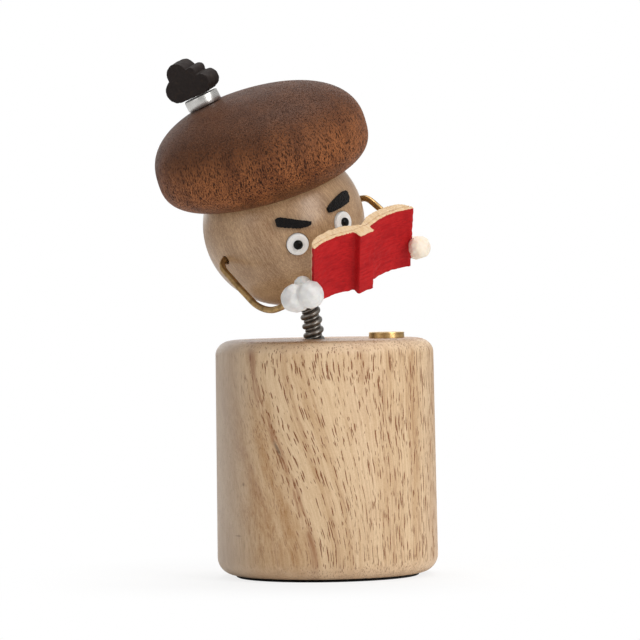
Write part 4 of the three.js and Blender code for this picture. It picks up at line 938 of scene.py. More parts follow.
def book_red():
    """Red stain on fine wood, with darker streaks, and bare wood at the top end."""
    tone = tones()
    f = Finish("Book red", book_frame())
    fine = f.wander(f.spot, 0.5, 0.6)
    fibre = f.noise(f.scaled(fine, 0.24, 2.4, 2.0, turn=(0, 0.12, 0)), detail=4.0, roughness=0.65)
    cloudy = f.noise(f.spot, 0.22, 2.0)
    pores = f.dashes(f.rolled(fine, 0, math.pi / 2, 0), 0.8, 3.4, 0.05, 0.2, 0.6)
    # The stain stops raggedly where the piece was cut off at its top
    cream, torn = cream_wood(f)
    edge = settings().book.height / MM / 2
    ragged = f.times(f.noise(f.spot, 1.9, 3.0), 0.55, f.parts(f.spot)[2])
    base = f.layered(
        tone.book_red,
        (f.ease(fibre, 0.36, 0.74, 0.0, 0.62), tone.book_red_deep),
        (f.ease(cloudy, 0.40, 0.70, 0.0, 0.30), tone.book_red_deep),
        (f.times(pores, 0.5), (0.11, 0.008, 0.012)),
        (f.ease(ragged, edge + 0.02, edge + 0.14), cream),
    )
    return f.set(
        Base_Color=base, Roughness=f.rough(fibre, 0.50, 0.66), Specular_IOR_Level=0.10,
        Normal=f.relief(f.weighed((fibre, 0.5), (pores, -0.5), (torn, 0.2)), 0.12, 0.6),
    )


def book_cream():
    """Bare pale wood of the pages, cut in fine lines up the page."""
    f = Finish("Book cream", book_frame())
    pale, torn = cream_wood(f)
    leaves = f.grain(f.spot, 0.3, 7.0, 0.05)
    return f.set(Base_Color=pale, Roughness=0.72, Normal=f.relief(f.times(leaves, 0.5, torn), 0.2, 0.7))


# Pieces

def edge_arc(radius, height, width, rise, start, end, steps=14):
    """Stations of a rounded edge about a middle, from one angle to another in degrees."""
    turns = [math.radians(start + (end - start) * k / steps) for k in range(steps + 1)]
    return [(radius + width * math.cos(t), height + rise * math.sin(t)) for t in turns]


def boss_places(base):
    turns = [math.radians(t) for t in (50, 170, 290)]
    return [(base.boss_circle * math.cos(t), base.boss_circle * math.sin(t)) for t in turns]


def base_hollows(base):
    """Cutters for the chamber, the cover's recess and the holes for the bushes, screws and neck."""
    top, ceiling, low = base.height, base.ceiling, base.cover_top - GAP
    chamber = rod(base.chamber_radius, low, ceiling, 128)
    carve(chamber, *(moved(rod(base.boss_radius, 0, top), x, y) for x, y in boss_places(base)))
    recess = rod(base.cover_radius + GAP, base.pad_thickness - MM, base.cover_top, 128)
    pocket = moved(rod(8.35 * MM, low, ceiling - 0.01 * MM), base.disc_x, 0)
    spindle_bush = moved(rod(5.8 * MM, ceiling - MM, 66.3 * MM), base.spindle_x, 0)
    neck_hole = moved(flared_rod(4.15 * MM, ceiling, top, GAP), base.spindle_x, 0)
    disc_bush = moved(rod(4.1 * MM, ceiling - MM, top + MM), base.disc_x, 0)
    disc_seat = moved(flared_rod(base.disc_radius + 0.4 * MM, top - GAP, top, 0.15 * MM), base.disc_x, 0)
    pilots = [moved(rod(1.4 * MM, 3 * MM, 13.8 * MM, 24), x, y) for x, y in boss_places(base)]
    return [chamber, recess, pocket, spindle_bush, neck_hole, disc_bush, disc_seat, *pilots]


def crank_hollows(base):
    """Cutters along the crank's axis: the blind hole in front, and the bush's hole and spot behind."""
    spot = crank_stations()[0]
    wall = base.foot_radius + MM
    blind = rod(SHAFT_HOLE, -(base.chamber_radius + 3.6 * MM), 0)
    bush = rod(4.3 * MM, base.chamber_radius - 2.2 * MM, wall)
    seat = turned([*near(0, spot, (6.3, 0), (6.3, 1.3), (6.9, 1.8)), (6.9 * MM, wall + MM)], 64)
    return [place(tool, crank_frame()) for tool in (blind, bush, seat)]


def make_base_block():
    base = settings().base
    width, rise = base.foot_edge_width, base.foot_edge_height
    foot = edge_arc(base.foot_radius - width, base.pad_thickness + rise, width, rise, -90, 0)
    width, rise = base.top_edge_width, base.top_edge_height
    top = edge_arc(base.top_radius - width, base.height - rise, width, rise, 0, 90)
    piece = turned([*foot, *top], 160)
    carve(piece, *base_hollows(base), *crank_hollows(base))
    settle(piece, "turned_block", "base", base_wood(), "base_block", 28)


def make_underside():
    """The felt pad under the base, and the finish of its cover and screws."""
    high, r = settings().base.pad_thickness, settings().base.pad_radius
    pad = turned([
        *near(r, 0, (-0.3, 0), (-0.05, 0.15)), (r, high / 2), *near(r, high, (-0.08, -0.12), (-0.3, -0.02)),
    ], 192)

    def rim(co):
        return -1 if math.hypot(co.x, co.y) > r - 0.2 * MM and 0.1 * MM < co.z < high - 0.05 * MM else 0

    rough_up(pad, 0.25 * MM, 1.1 * MM, 0, rim)
    settle(pad, "felt_pad", "base", felt("Pad felt", None, tones().felt), "base_pad", 60)
    dress(works_wood(), "base_cover")
    steel = metal("Screw steel", None, tones().steel, 0.28, 0.15, (1.5, 1.5, 6.0))
    dress(steel, "cover_screw_1", "cover_screw_2", "cover_screw_3")


def make_brass_disc():
    """Turned brass disc on its stem, with a fine groove under its lip and rings on its face."""
    base = settings().base
    low, high, r = base.height, base.height + base.disc_thickness, base.disc_radius
    piece = turned([
        *near(base.stem_radius, base.stem_foot, (-0.2, 0), (0, 0.2)), (base.stem_radius, low),
        *near(r, low, (-0.12, 0), (0, 0.1)),
        *near(r, high, (0, -0.62), (-0.14, -0.56), (-0.14, -0.48), (0, -0.42), (0, -0.18), (-0.06, -0.06),
              (-0.2, 0), (-0.55, -0.02), (-0.8, -0.10)),
        *near(0, high, (3.2, -0.10), (3.1, -0.14), (3.0, -0.10), (0.9, -0.08), (0.5, -0.2), (0.05, -0.28)),
    ])
    finish = brass(home=Matrix.Translation((base.disc_x, 0, high)))
    settle(moved(piece, base.disc_x, 0), "brass_disc", "stage", finish, "stage_disc", 34)


def make_works():
    """The rubber tyre, and the finishes of the drive inside the base."""
    tyre = made(
        bpy.ops.mesh.primitive_torus_add, major_radius=8.8 * MM, minor_radius=1.2 * MM, major_segments=72,
        minor_segments=20, location=(0, 0, 10 * MM),
    )
    # The tyre's skin is slightly uneven, as moulded rubber is
    rough_up(tyre, 0.05 * MM, 0.8 * MM)
    settle(place(tyre, crank_frame()), "drive_tyre", "crank", rubber(), "wheel_tyre", 60)
    dress(works_wood(), "drive_wheel", "friction_disc", "hat_dowel")
    spindle = Matrix.Translation((settings().base.spindle_x, 0, 0))
    gears = brass("Gear brass", spindle, (0.5, 0.5, 4.0))
    dress(gears, "spindle_bush", "spindle_gear", "stage_bush", "stage_pinion")
    steel = metal("Shaft steel", spindle, tones().steel, 0.24, 0.14, (0.8, 0.8, 5.0))
    dress(steel, "neck_spindle", "spindle_collar", "neck_ferrule", "crank_shaft", "shaft_collar")
    dress(steel, "hat_screw", "cloud_pin")


def make_crank():
    """Bush, arm, screw, pin and knob at the back."""
    home = crank_frame()
    finish = brass("Crank brass", home, (0.4, 0.4, 9.0))
    make_crank_bush(home, finish)
    make_crank_arm(home)
    make_crank_screw(home, finish)
    make_knob_pin(home)
    make_knob(home)


def make_crank_bush(home, finish):
    spot, flange = crank_stations()[:2]
    inner = settings().base.chamber_radius - 1.2 * MM
    bush = turned([
        *near(0, inner, (3.9, 0), (4, 0.1)), *near(0, spot, (4, 0.3), (5.85, 0.3), (6, 0.45)),
        *near(0, flange, (6, -0.3), (5.75, -0.05), (5.5, 0), (3.0, 0), (2.7, -0.15)),
    ], 72)
    carve(bush, drill(SHAFT_HOLE, inner, flange))
    settle(place(bush, home), "crank_flange_bush", "base", finish, "crank_bush")


def make_crank_arm(home):
    """The hull of two discs, with a softened edge and two holes."""
    crank = settings().crank
    low, high = crank_stations()[2:4]
    arm = plate(crank.hub_radius, 64, (0, 0, low))
    joined(arm, plate(crank.eye_radius, 64, (0, crank.arm_length, low)))
    edit(arm)
    drawn(0, 0, crank.arm_thickness)
    bpy.ops.mesh.select_all(action="SELECT")
    bpy.ops.mesh.convex_hull()
    bpy.ops.mesh.dissolve_limited(angle_limit=math.radians(1))
    outward()
    edge = {"limit_method": "ANGLE", "angle_limit": math.radians(50), "harden_normals": False}
    changed(arm, "BEVEL", width=0.7 * MM, segments=4, **edge)
    carve(arm, drill(SHAFT_HOLE, low, high), moved(drill(KNOB_HOLE, low, high), 0, crank.arm_length))
    finish = crank_wood("Arm wood", tones().hat_pale, tones().hat_deep)
    settle(place(arm, home), "wooden_crank_arm", "crank", finish, "crank_arm")


def make_crank_screw(home, finish):
    face = crank_stations()[3] + GAP
    screw = turned(near(
        0, face, (0.5, -8), (1, -7.4), (1, 0), (3.1, 0), (3.2, 0.1), (3.2, 0.75), (3.0, 1.1), (2.5, 1.42),
        (1.7, 1.68), (0.8, 1.78), (0.05, 1.8),
    ), 64)
    slot = block((8 * MM, 0.8 * MM, 1.8 * MM), (0, 0, face + 1.9 * MM))
    carve(screw, place(slot, Matrix.Rotation(0.5, 4, "Z")))
    settle(place(screw, home), "crank_dome_screw", "crank", finish, "crank_screw")


def make_knob_pin(home):
    crank = settings().crank
    low, top = crank_stations()[2], crank_stations()[4] + crank.knob_length + GAP
    pin = turned([
        *near(0, low, (1.3, 0.3), (1.5, 0.5)),
        *near(0, top, (1.5, 0), (2.6, 0), (2.7, 0.1), (2.7, 0.55), (2.45, 0.95), (1.9, 1.25), (1.1, 1.38),
              (0.05, 1.4)),
    ], 48)
    moved(pin, 0, crank.arm_length)
    steel = metal("Pin steel", home, tones().steel, 0.22, 0.14, (1.0, 1.0, 5.0))
    settle(place(pin, home), "knob_rivet", "crank", steel, "knob_pin")


def make_knob(home):
    """Barrel-shaped wooden knob with two turned grooves."""
    crank = settings().crank
    low, end, long = crank_stations()[4], crank.knob_end_radius, crank.knob_length
    swell = crank.knob_belly_radius - end
    stations = near(end, low, (-0.5, 0), (-0.12, 0.12))
    for k in range(2, 59):
        share = k / 60
        groove = min(abs(share - 0.16), abs(share - 0.84))
        cut = 0.22 * MM * max(0, 1 - groove / 0.018)
        stations.append((end + swell * math.sin(math.pi * share) - cut, low + long * share))
    stations += near(end, low + long, (-0.12, -0.12), (-0.5, 0))
    knob = turned(stations, 72)
    carve(knob, drill(KNOB_HOLE, low, low + long, 36))
    moved(knob, 0, crank.arm_length)
    finish = crank_wood("Knob wood", tones().head_pale, tones().head_deep)
    settle(place(knob, home), "wooden_knob", "knob", finish, "crank_knob")


def coil_points(centre_radius, leg, first_turn):
    """Points of a wire wound round the neck, with a short straight leg at each end."""
    neck = settings().neck
    wound = neck.pitch * neck.curls
    start = -2.96 * MM
    steps = (neck.curls + 1) * 40
    points = []
    for k in range(steps + 1):
        travelled = k / steps * (wound + 2 * leg) - leg
        turn = first_turn + 2 * math.pi * within(travelled, 0, wound) / neck.pitch
        point, _, across, aside = neck_place(start + travelled)
        across, aside = across * centre_radius, aside * centre_radius
        points.append(point + across * math.cos(turn) + aside * math.sin(turn))
    return points


def make_neck():
    """Thick round steel wire, and a thin wire wound into its valleys."""
    neck = settings().neck
    steel = metal("Coil steel", None, tones().steel, 0.26, 0.14, (0.9, 0.9, 0.9), 0.45, (0.10, 0.09, 0.08))
    thick = wire(coil_points(neck.outer_radius - neck.wire_radius, 1.7 * MM, 0), neck.wire_radius, 6)
    thin = wire(coil_points(neck.thin_centre_radius, 0.8 * MM, math.pi), neck.thin_wire_radius, 4)
    names = (("thick_coil", "neck_round_coil"), ("thin_coil", "neck_wedge_coil"))
    for coil, (name, node) in zip((thick, thin), names):
        clad(coil, name, steel, 50)
        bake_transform(coil)
        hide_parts(node)


# Turn and rise of each eye from the front of the face, in degrees
EYES = {"left": (-20.6, -3.8), "right": (18.2, -1.8)}
# Each arm's hole, as turn and rise in degrees, and its way as shares of the arms' spread, reach and drop
ARMS = {
    "left": (-80.2, -5.3, [
        (-0.96, 0.15, 0.24), (-0.98, 0.27, 0.43), (-0.99, 0.43, 0.7), (-0.985, 0.56, 0.92),
        (-0.965, 0.74, 0.99), (-0.91, 0.9, 0.9),
    ]),
    "right": (81.6, -2.3, [
        (0.955, 0.15, 0.08), (0.98, 0.26, 0.27), (1, 0.43, 0.62), (0.99, 0.56, 0.9),
        (0.965, 0.74, 1), (0.91, 0.9, 0.9),
    ]),
}


def ball(radius):
    return made(bpy.ops.mesh.primitive_uv_sphere_add, segments=128, ring_count=64, radius=radius)


def make_head():
    """Wooden ball with sockets for the neck, the hat's dowel, the arms and the eyes."""
    head = settings().head
    r, home = head.radius, head_frame()
    skull = place(ball(r), home)
    # The neck's socket widens inwards, so that the head can sway on the coil's end
    mouth = settings().neck.outer_radius + GAP
    socket = turned([
        (mouth + 0.5 * MM, -(r + MM)), *near(mouth, -r, (0.35, 0.25), (0.1, 0.7), (1.55, 6.3)),
    ], 64)
    tools = [place(socket, home), place(rod(DOWEL_HOLE, r - DOWEL_DEPTH, r + MM), home)]
    for turn, rise, _ in ARMS.values():
        hole = flared_rod(head.arm_radius + GAP, r - 5 * MM, r + 0.05 * MM, GAP, 32)
        tools.append(place(hole, on_head(turn, rise)))
    for turn, rise in EYES.values():
        floor = r + head.eye_proud - 1.6 * MM
        pocket = flared_rod(head.eye_radius + 0.22 * MM, floor, r - 0.1 * MM, 0.16 * MM)
        tools.append(place(pocket, on_head(turn, rise)))
    carve(skull, *tools)
    settle(skull, "wooden_head", "head", head_wood(), "head_ball", 34)


def make_eyes():
    """White discs with rounded rims, and domed black pupils on them."""
    head = settings().head
    r, small = head.eye_radius, head.pupil_radius
    high = head.radius + head.eye_proud
    rim = near(
        r, high, (-0.12, -1.3), (0, -1.18), (0, -0.42), (-0.04, -0.24), (-0.13, -0.11), (-0.28, -0.03),
        (-0.5, 0),
    )
    wall = 0.15 * MM
    dome = [(small, high - 0.02 * MM)]
    for k in range(11):
        t = math.pi / 2 * k / 10
        rise = wall + (head.pupil_height - wall) * math.sin(t)
        dome.append((max(small * math.cos(t) ** 0.8, 0.03 * MM), high + rise))
    white, black = eye_white(), pupil_black()
    for side, way in EYES.items():
        stand = on_head(*way)
        disc = turned([*rim, (r * 0.5, high), (TIP, high)], 72)
        settle(place(disc, stand), f"{side}_eye_disc", "head", white, f"{side}_eye", 40)
        pupil = turned(dome, 48)
        settle(place(pupil, stand), f"{side}_pupil_dome", "head", black, f"{side}_pupil", 60)


# Stations along each eyebrow from its outer to its inner end: turn, lower and upper height in degrees
BROWS = {
    "left": [
        (-31, 12.4, 16.8), (-30, 11.6, 17.6), (-28, 10.9, 17.8), (-26.5, 10.3, 17.5), (-22.5, 8.8, 15.7),
        (-18.5, 7.2, 13.8), (-14, 6.2, 11.7), (-10.5, 5.9, 10.1), (-8.6, 6.3, 9.1), (-7.4, 7.3, 8.5),
    ],
    "right": [
        (32.3, 13.2, 16), (31, 10.9, 16.8), (28.9, 9.3, 17.2), (26, 8.8, 17.1), (22, 8.5, 16.6),
        (18, 8.4, 15.8), (14, 8.4, 14.8), (10.5, 8.6, 13.3), (9.0, 8.8, 12.5), (8.6, 9.1, 12.2),
    ],
}
# How far the felt's edge strays, as a share of the eyebrow's height
FRAY = 0.05


def between(stations, turn):
    """Lower and upper height of an eyebrow at a turn within its stations."""
    ordered = sorted(stations)
    for (t0, low0, high0), (t1, low1, high1) in zip(ordered, ordered[1:]):
        if t0 <= turn <= t1:
            share = (turn - t0) / (t1 - t0)
            return low0 + (low1 - low0) * share, high0 + (high1 - high0) * share
    return ordered[-1][1:] if turn > ordered[-1][0] else ordered[0][1:]


def make_eyebrows():
    """Cut felt strips that lie on the ball, with a slightly frayed edge."""
    head, home = settings().head, head_frame()
    finish = felt("Brow felt", home, tones().felt)
    face = head.radius + 0.5 * head.brow_thickness
    for side, stations in BROWS.items():
        turns = [station[0] for station in stations]
        first, last = min(turns), max(turns)
        seed = Vector((5.0, 2.0, 3.0 if side == "left" else 9.0))
        strip = made(bpy.ops.mesh.primitive_grid_add, x_subdivisions=110, y_subdivisions=32, size=2)
        for vertex in strip.data.vertices:
            across, up = (vertex.co.x + 1) / 2, (vertex.co.y + 1) / 2
            turn = first + (last - first) * across
            low, high = between(stations, turn)
            at = Vector((across * 34, up * 11, 0)) + seed
            fray = max(abs(vertex.co.x), abs(vertex.co.y)) ** 10 * FRAY * (high - low)
            turn += fray * noise.noise(at)
            rise = low + (high - low) * up + fray * noise.noise(at * 1.3 + seed)
            vertex.co = head_direction(turn, rise) * (head.radius + 0.06 * MM)
        changed(strip, "SOLIDIFY", thickness=head.brow_thickness - 0.1 * MM, offset=1)
        rough_up(strip, 0.16 * MM, 0.45 * MM, 4.0, lambda co: co.length > face)
        settle(place(strip, home), f"{side}_felt_brow", "head", finish, f"{side}_eyebrow", 70)


# Hands: lobes as side, out and up from the middle of the book, with their radii, in millimetres
HANDS = {
    "left": [(-23.4, -1.1, -5.3, 4.2), (-20.7, 2.4, -2.8, 4.1), (-18.6, -4, -4, 2.5)],
    "right": [(19.6, -1.8, -6, 3.5), (18.1, 2.4, -2.5, 3.4), (17.4, -4.4, -5, 2.4)],
}


def arm_points(side):
    """Middle line of an arm in the head's frame, from inside its hole to the middle of its palm."""
    head = settings().head
    turn, rise, shares = ARMS[side]
    palm = HANDS[side][0]
    hole = head_direction(turn, rise)
    end = head_frame().inverted() @ book_frame() @ Vector((palm[0] * MM, -palm[1] * MM, palm[2] * MM))
    way = [Vector((a * head.arm_spread, -b * head.arm_reach, -c * head.arm_drop)) for a, b, c in shares]
    knots = [hole * (head.radius - 4.7 * MM), hole * (head.radius + head.arm_radius), *way, end]
    return smooth_path(knots, 14)


def make_arms():
    head, home = settings().head, head_frame()
    tarnished = (0.6, (0.13, 0.08, 0.03))
    finish = metal("Arm brass", home, tones().wire_brass, 0.26, 0.16, (1.2, 1.2, 1.2), *tarnished)
    for side in HANDS:
        arm = place(wire(arm_points(side), head.arm_radius, 7), home)
        settle(arm, f"{side}_wire_arm", "head", finish, f"{side}_arm", 50)


def upright(outline, height):
    """A prism whose outline lies across and behind the book, standing on its middle."""
    prism = plate(1, len(outline))
    for vertex, point in zip(prism.data.vertices, outline):
        vertex.co = (point.x, point.y, -height / 2)
    edit(prism)
    drawn(0, 0, height)
    outward()
    return prism


# Points of the pages' arch as shares: half of their width, and their depth
PAGE_SHARES = [
    (0, 0.42), (0.1, 0.6), (0.25, 0.86), (0.48, 1), (0.7, 0.95), (0.87, 0.74), (0.975, 0.44), (1, 0.32),
]


def page_arch(clearance=0.0):
    """Outline of the open pages: an arch on each side of the fold, in the book's frame."""
    book = settings().book
    half = book.width / 2 - GAP + clearance
    right = smooth_path([Vector((a * half, d * book.page_depth + clearance, 0)) for a, d in PAGE_SHARES], 4)
    left = [Vector((-p.x, p.y, 0)) for p in reversed(right[1:])]
    return left + right


def book_room(clearance):
    """The room that the book takes, as a cutter for the hands."""
    book = settings().book
    half = book.width / 2 + clearance
    outline = [Vector((-half, -clearance, 0)), *page_arch(clearance), Vector((half, -clearance, 0))]
    return upright(outline, book.height + 2 * clearance)


def bow_at(across):
    """How far a cover is bowed towards the pages, at a distance from the book's middle."""
    book = settings().book
    away = abs(across - book.spine_offset) - book.spine_width / 2
    share = within(away / (book.width / 2 - book.spine_width / 2), 0, 1)
    return 4 * book.bow * share * (1 - share)


def make_book():
    """Red covers with a raised spine, and the open pages behind them."""
    make_covers()
    make_pages()


def make_covers():
    book = settings().book
    half, low, high = book.width / 2, -book.height / 2, book.height / 2
    cover = block((book.width, book.board, book.height), (0, book.board / 2, 0))
    left, right = book.spine_offset - book.spine_width / 2, book.spine_offset + book.spine_width / 2
    for x in (left, right):
        edit(cover)
        bpy.ops.mesh.bisect(plane_co=(x, 0, 0), plane_no=(1, 0, 0))
        all_off()
    edit(cover, "DESELECT")
    all_off()
    for face in cover.data.polygons:
        face.select = face.normal.y < -0.9 and left < face.center.x < right
    pick(cover)
    bpy.ops.object.mode_set(mode="EDIT")
    bpy.ops.mesh.select_mode(type="FACE")
    drawn(0, -book.spine_proud, 0)
    outward()
    melt(cover, 3)
    # The covers are bowed, and the right edge leans in towards its foot
    for vertex in cover.data.vertices:
        down = (high - vertex.co.z) / (high - low)
        vertex.co.y += bow_at(vertex.co.x)
        if vertex.co.x > 0:
            vertex.co.x -= 0.5 * MM * down * vertex.co.x / half
    rough_up(cover, 0.16 * MM, 1.6 * MM, 2.0)
    rough_up(cover, 0.1 * MM, 0.9 * MM, 6.0, lambda co: 1.0 if co.z < low + 0.5 * MM else 0.3)
    for vertex in cover.data.vertices:
        vertex.co.z = within(vertex.co.z, low, high)
    settle(place(cover, book_frame()), "red_covers", "head", book_red(), "book_cover", 60)


def make_pages():
    book = settings().book
    arch = page_arch()
    slack = 0.04 * MM
    floor = book.board + slack
    outline = [Vector((arch[0].x, floor, 0)), *arch, Vector((arch[-1].x, floor, 0))]
    pages = upright(outline, book.height - slack)
    melt(pages, 2)
    rough_up(pages, 0.18 * MM, 1.1 * MM, 1.0)
    rough_up(pages, 0.14 * MM, 0.4 * MM, 7.0)
    for vertex in pages.data.vertices:
        deep = within((vertex.co.y - floor) / (book.page_depth - floor), 0, 1)
        vertex.co.y = max(vertex.co.y, floor) + bow_at(vertex.co.x) * (1 - deep)
        vertex.co.z = within(vertex.co.z, -book.height / 2, book.height / 2)
    settle(place(pages, book_frame()), "open_pages", "head", book_cream(), "book_pages", 60)


def make_hands():
    """Moulded white hands, each of fused lumps, pressed round the book's edge and the arm's end."""
    finish = hand_white()
    for side, lobes in HANDS.items():
        hand = joined(*(
            made(bpy.ops.mesh.primitive_ico_sphere_add, subdivisions=2, radius=radius * MM,
                 location=(across * MM, -out * MM, up * MM))
            for across, out, up, radius in lobes
        ))
        melt(hand, 5)
        rough_up(hand, 0.3 * MM, 3.4 * MM, 3.0 if side == "left" else 8.0)
        rough_up(hand, 0.06 * MM, 1.2 * MM, 5.0)
        carve(hand, book_room(0.08 * MM))
        place(hand, book_frame())
        path = [head_frame() @ point for point in arm_points(side)]
        path.append(path[-1] + (path[-1] - path[-2]).normalized() * GAP)
        carve(hand, wire(path, settings().head.arm_radius + 0.06 * MM, 6))
        settle(hand, f"{side}_moulded_hand", "head", finish, f"{side}_hand", 60)


def hat_profile(hat, steps=36):
    """Stations of the hat from its underside at the axis, round the rim and up to the crown."""
    def half(height, power):
        turns = [math.pi / 2 * (k / steps) for k in range(steps)]
        return [
            (hat.radius * math.cos(t) ** (2 / power), hat.rim_height + height * math.sin(t) ** (2 / power))
            for t in turns
        ]
    under = [(TIP, hat.rim_height - hat.under_depth), *reversed(half(-hat.under_depth, hat.under_power))]
    return [*under, *half(hat.crown_height, hat.crown_power)[1:], (TIP, hat.rim_height + hat.crown_height)]


def make_hat():
    """Turned hat with a hollow that sits on the ball, and a flat spot with a hole under the magnet."""
    hat, r = settings().hat, settings().head.radius
    home, stand = head_frame(), magnet_frame()
    piece = place(turned(hat_profile(hat), 144), home)
    seat = place(ball(r + 0.22 * MM), home)
    dowel = place(rod(DOWEL_HOLE, r - MM, r + DOWEL_DEPTH), home)
    spot = place(flared_rod(hat.magnet_radius + GAP, -hat.seat_depth, GAP, 0.1 * MM), stand)
    hole = place(rod(2.4 * MM, -(10 * MM + hat.seat_depth + 0.6 * MM), MM), stand)
    carve(piece, seat, dowel, spot, hole)
    settle(piece, "turned_hat", "head", hat_wood(), "hat", 36)


def make_magnet_and_cloud():
    """Nickel-plated disc magnet, and the black cloud that stands on it."""
    hat, stand = settings().hat, magnet_frame()
    low = GAP - hat.seat_depth
    high, r = low + hat.magnet_height, hat.magnet_radius
    magnet = turned([
        *near(r, low, (-0.3, 0), (-0.1, 0.07), (0, 0.28)),
        *near(r, high, (0, -0.28), (-0.04, -0.15), (-0.12, -0.05), (-0.3, 0)),
    ])
    carve(magnet, drill(CLOUD_HOLE, low, high))
    dull = (0.2, (0.35, 0.33, 0.31))
    finish = metal("Magnet nickel", stand, tones().nickel, 0.16, 0.12, (0.5, 0.5, 6.0), *dull)
    settle(place(magnet, stand), "nickel_magnet", "magnet", finish, "cloud_magnet")
    make_cloud(high + GAP, stand @ Matrix.Rotation(hat.cloud_turn, 4, "Z"))


def make_cloud(foot, stand):
    """Four lobes and a core between them, fused and worn, with a flat foot and a hole for the pin."""
    hat = settings().hat
    # Lobes as shares: middle across and up, and radius
    shares = [(-0.284, 0.313, 0.304), (-0.091, 0.678, 0.322), (0.203, 0.608, 0.15), (0.328, 0.273, 0.242)]
    blobs = [
        made(bpy.ops.mesh.primitive_cylinder_add, vertices=64, radius=size * hat.cloud_height,
             depth=hat.cloud_thickness, rotation=(math.pi / 2, 0, 0),
             location=(hat.cloud_offset + across * hat.cloud_width, 0, foot + up * hat.cloud_height))
        for across, up, size in shares
    ]
    corners = [(-0.3, 0), (0.33, 0), (0.22, 0.62), (-0.1, 0.7)]
    core = upright([
        Vector((hat.cloud_offset + a * hat.cloud_width, u * hat.cloud_height, 0)) for a, u in corners
    ], hat.cloud_thickness)
    place(core, Matrix.Translation((0, 0, foot)) @ Matrix.Rotation(math.pi / 2, 4, "X"))
    cloud = joined(*blobs, core)
    melt(cloud, 5)
    rough_up(cloud, 0.14 * MM, 1.4 * MM, 2.0)
    for vertex in cloud.data.vertices:
        vertex.co.z = max(vertex.co.z, foot)
    carve(cloud, rod(CLOUD_HOLE, foot - MM, foot + 3.3 * MM, 32))
    finish = black_paint("Cloud black", stand, 0.62, 0.12)
    settle(place(cloud, stand), "black_cloud", "cloud", finish, "cloud", 50)


# Stage: floor, lamps and camera

def light_only(name, shown, mirrored):
    """White to the camera, and the given light otherwise, with another strength in reflections."""
    world = bpy.data.worlds.new(name)
    bpy.context.scene.world = world
    sky = Nodes(world)
    ray = sky.add("ShaderNodeLightPath").outputs
    strength = sky.add(
        "ShaderNodeMapRange", {"Value": ray["Is Glossy Ray"], "To Min": shown, "To Max": mirrored}
    ).outputs[0]
    plain = sky.add("ShaderNodeBackground", {"Color": (1, 1, 1), "Strength": 1.0}).outputs[0]
    light = sky.add("ShaderNodeBackground", {"Color": (1, 1, 1), "Strength": strength}).outputs[0]
    mix = sky.add("ShaderNodeMixShader", {0: ray["Is Camera Ray"], 1: light, 2: plain})
    sky.add("ShaderNodeOutputWorld", {0: mix.outputs[0]})


def floor_finish():
    """White floor that keeps the piece's shadow, and turns into plain white further out."""
    f = Finish("Floor white")
    grain = f.noise(f.spot, 0.02, 2.0)
    f.set(
        Base_Color=f.mixed(grain, (0.93, 0.93, 0.93), (0.96, 0.96, 0.96)), Roughness=0.9,
        Specular_IOR_Level=0.1,
    )
    away = f.vectors("LENGTH", f.scaled(f.spot, 1, 1, 0), (0, 0, 0))["Value"]
    seen = f.add("ShaderNodeLightPath").outputs["Is Camera Ray"]
    white = f.add("ShaderNodeEmission", {"Color": (1, 1, 1), "Strength": 1.0}).outputs[0]
    share = f.times(seen, f.ease(away, 30.0, 110.0, 0.8, 1.0))
    mix = f.add("ShaderNodeMixShader", {0: share, 1: f.surface.outputs[0], 2: white})
    f.feed(f.ending.inputs[0], mix.outputs[0])
    return f.material


def lamp(name, place_at, aim, size, power):
    data = bpy.data.lights.new(name, "AREA")
    data.shape = "RECTANGLE"
    data.size, data.size_y = size
    data.energy = power
    item = bpy.data.objects.new(name, data)
    bpy.context.collection.objects.link(item)
    item.location = place_at
    item.rotation_euler = (Vector(aim) - Vector(place_at)).to_track_quat("-Z", "Y").to_euler()


def make_stage():
    """Pale floor, soft lamps and the photograph's camera."""
    floor = made(bpy.ops.mesh.primitive_plane_add, size=6)
    floor.name = "floor"
    floor.data.materials.append(floor_finish())
    light_only("Studio", 0.30, 0.55)
    middle = (0, 0, 0.075)
    lamp("Key", (0.62, -0.72, 0.46), middle, (0.45, 0.9), 6.0)
    lamp("Fill", (-0.8, -0.7, 0.25), middle, (0.5, 0.7), 1.35)
    lamp("Top", (0.03, 0.12, 0.95), middle, (0.5, 0.4), 4.4)
    lamp("Rim", (-0.2, 0.8, 0.35), middle, (0.9, 0.5), 1.6)
    data = bpy.data.cameras.new("Camera")
    data.sensor_width = 36
    data.lens = 245.5
    data.clip_start = 0.05
    camera = bpy.data.objects.new("Camera", data)
    bpy.context.collection.objects.link(camera)
    pitch, yaw, roll = math.radians(-1.04), math.radians(0.0504), math.radians(0.97)
    camera.matrix_world = (
        Matrix.Translation((0, -1.29, 0.099)) @ Matrix.Rotation(yaw, 4, "Z")
        @ Matrix.Rotation(math.pi / 2 + pitch, 4, "X") @ Matrix.Rotation(-roll, 4, "Z")
    )
    scene = bpy.context.scene
    scene.camera = camera
    scene.view_settings.view_transform = "Standard"


# Operators, one for each piece or group of like pieces

class AUTOMATON_OT_base(bpy.types.Operator):
    """Turn the base block and hollow it out"""
    bl_idname = "automaton.base"
    bl_label = "Base block"

    def execute(self, context):
        make_base_block()
        return {"FINISHED"}


class AUTOMATON_OT_underside(bpy.types.Operator):
    """Make the felt pad and finish the cover and its screws"""
    bl_idname = "automaton.underside"
    bl_label = "Underside"

    def execute(self, context):
        make_underside()
        return {"FINISHED"}


class AUTOMATON_OT_disc(bpy.types.Operator):
    """Turn the brass disc on the top"""
    bl_idname = "automaton.disc"
    bl_label = "Brass disc"

    def execute(self, context):
        make_brass_disc()
        return {"FINISHED"}


class AUTOMATON_OT_works(bpy.types.Operator):
    """Make the drive's tyre and finish the works in the base"""
    bl_idname = "automaton.works"
    bl_label = "Works"

    def execute(self, context):
        make_works()
        return {"FINISHED"}


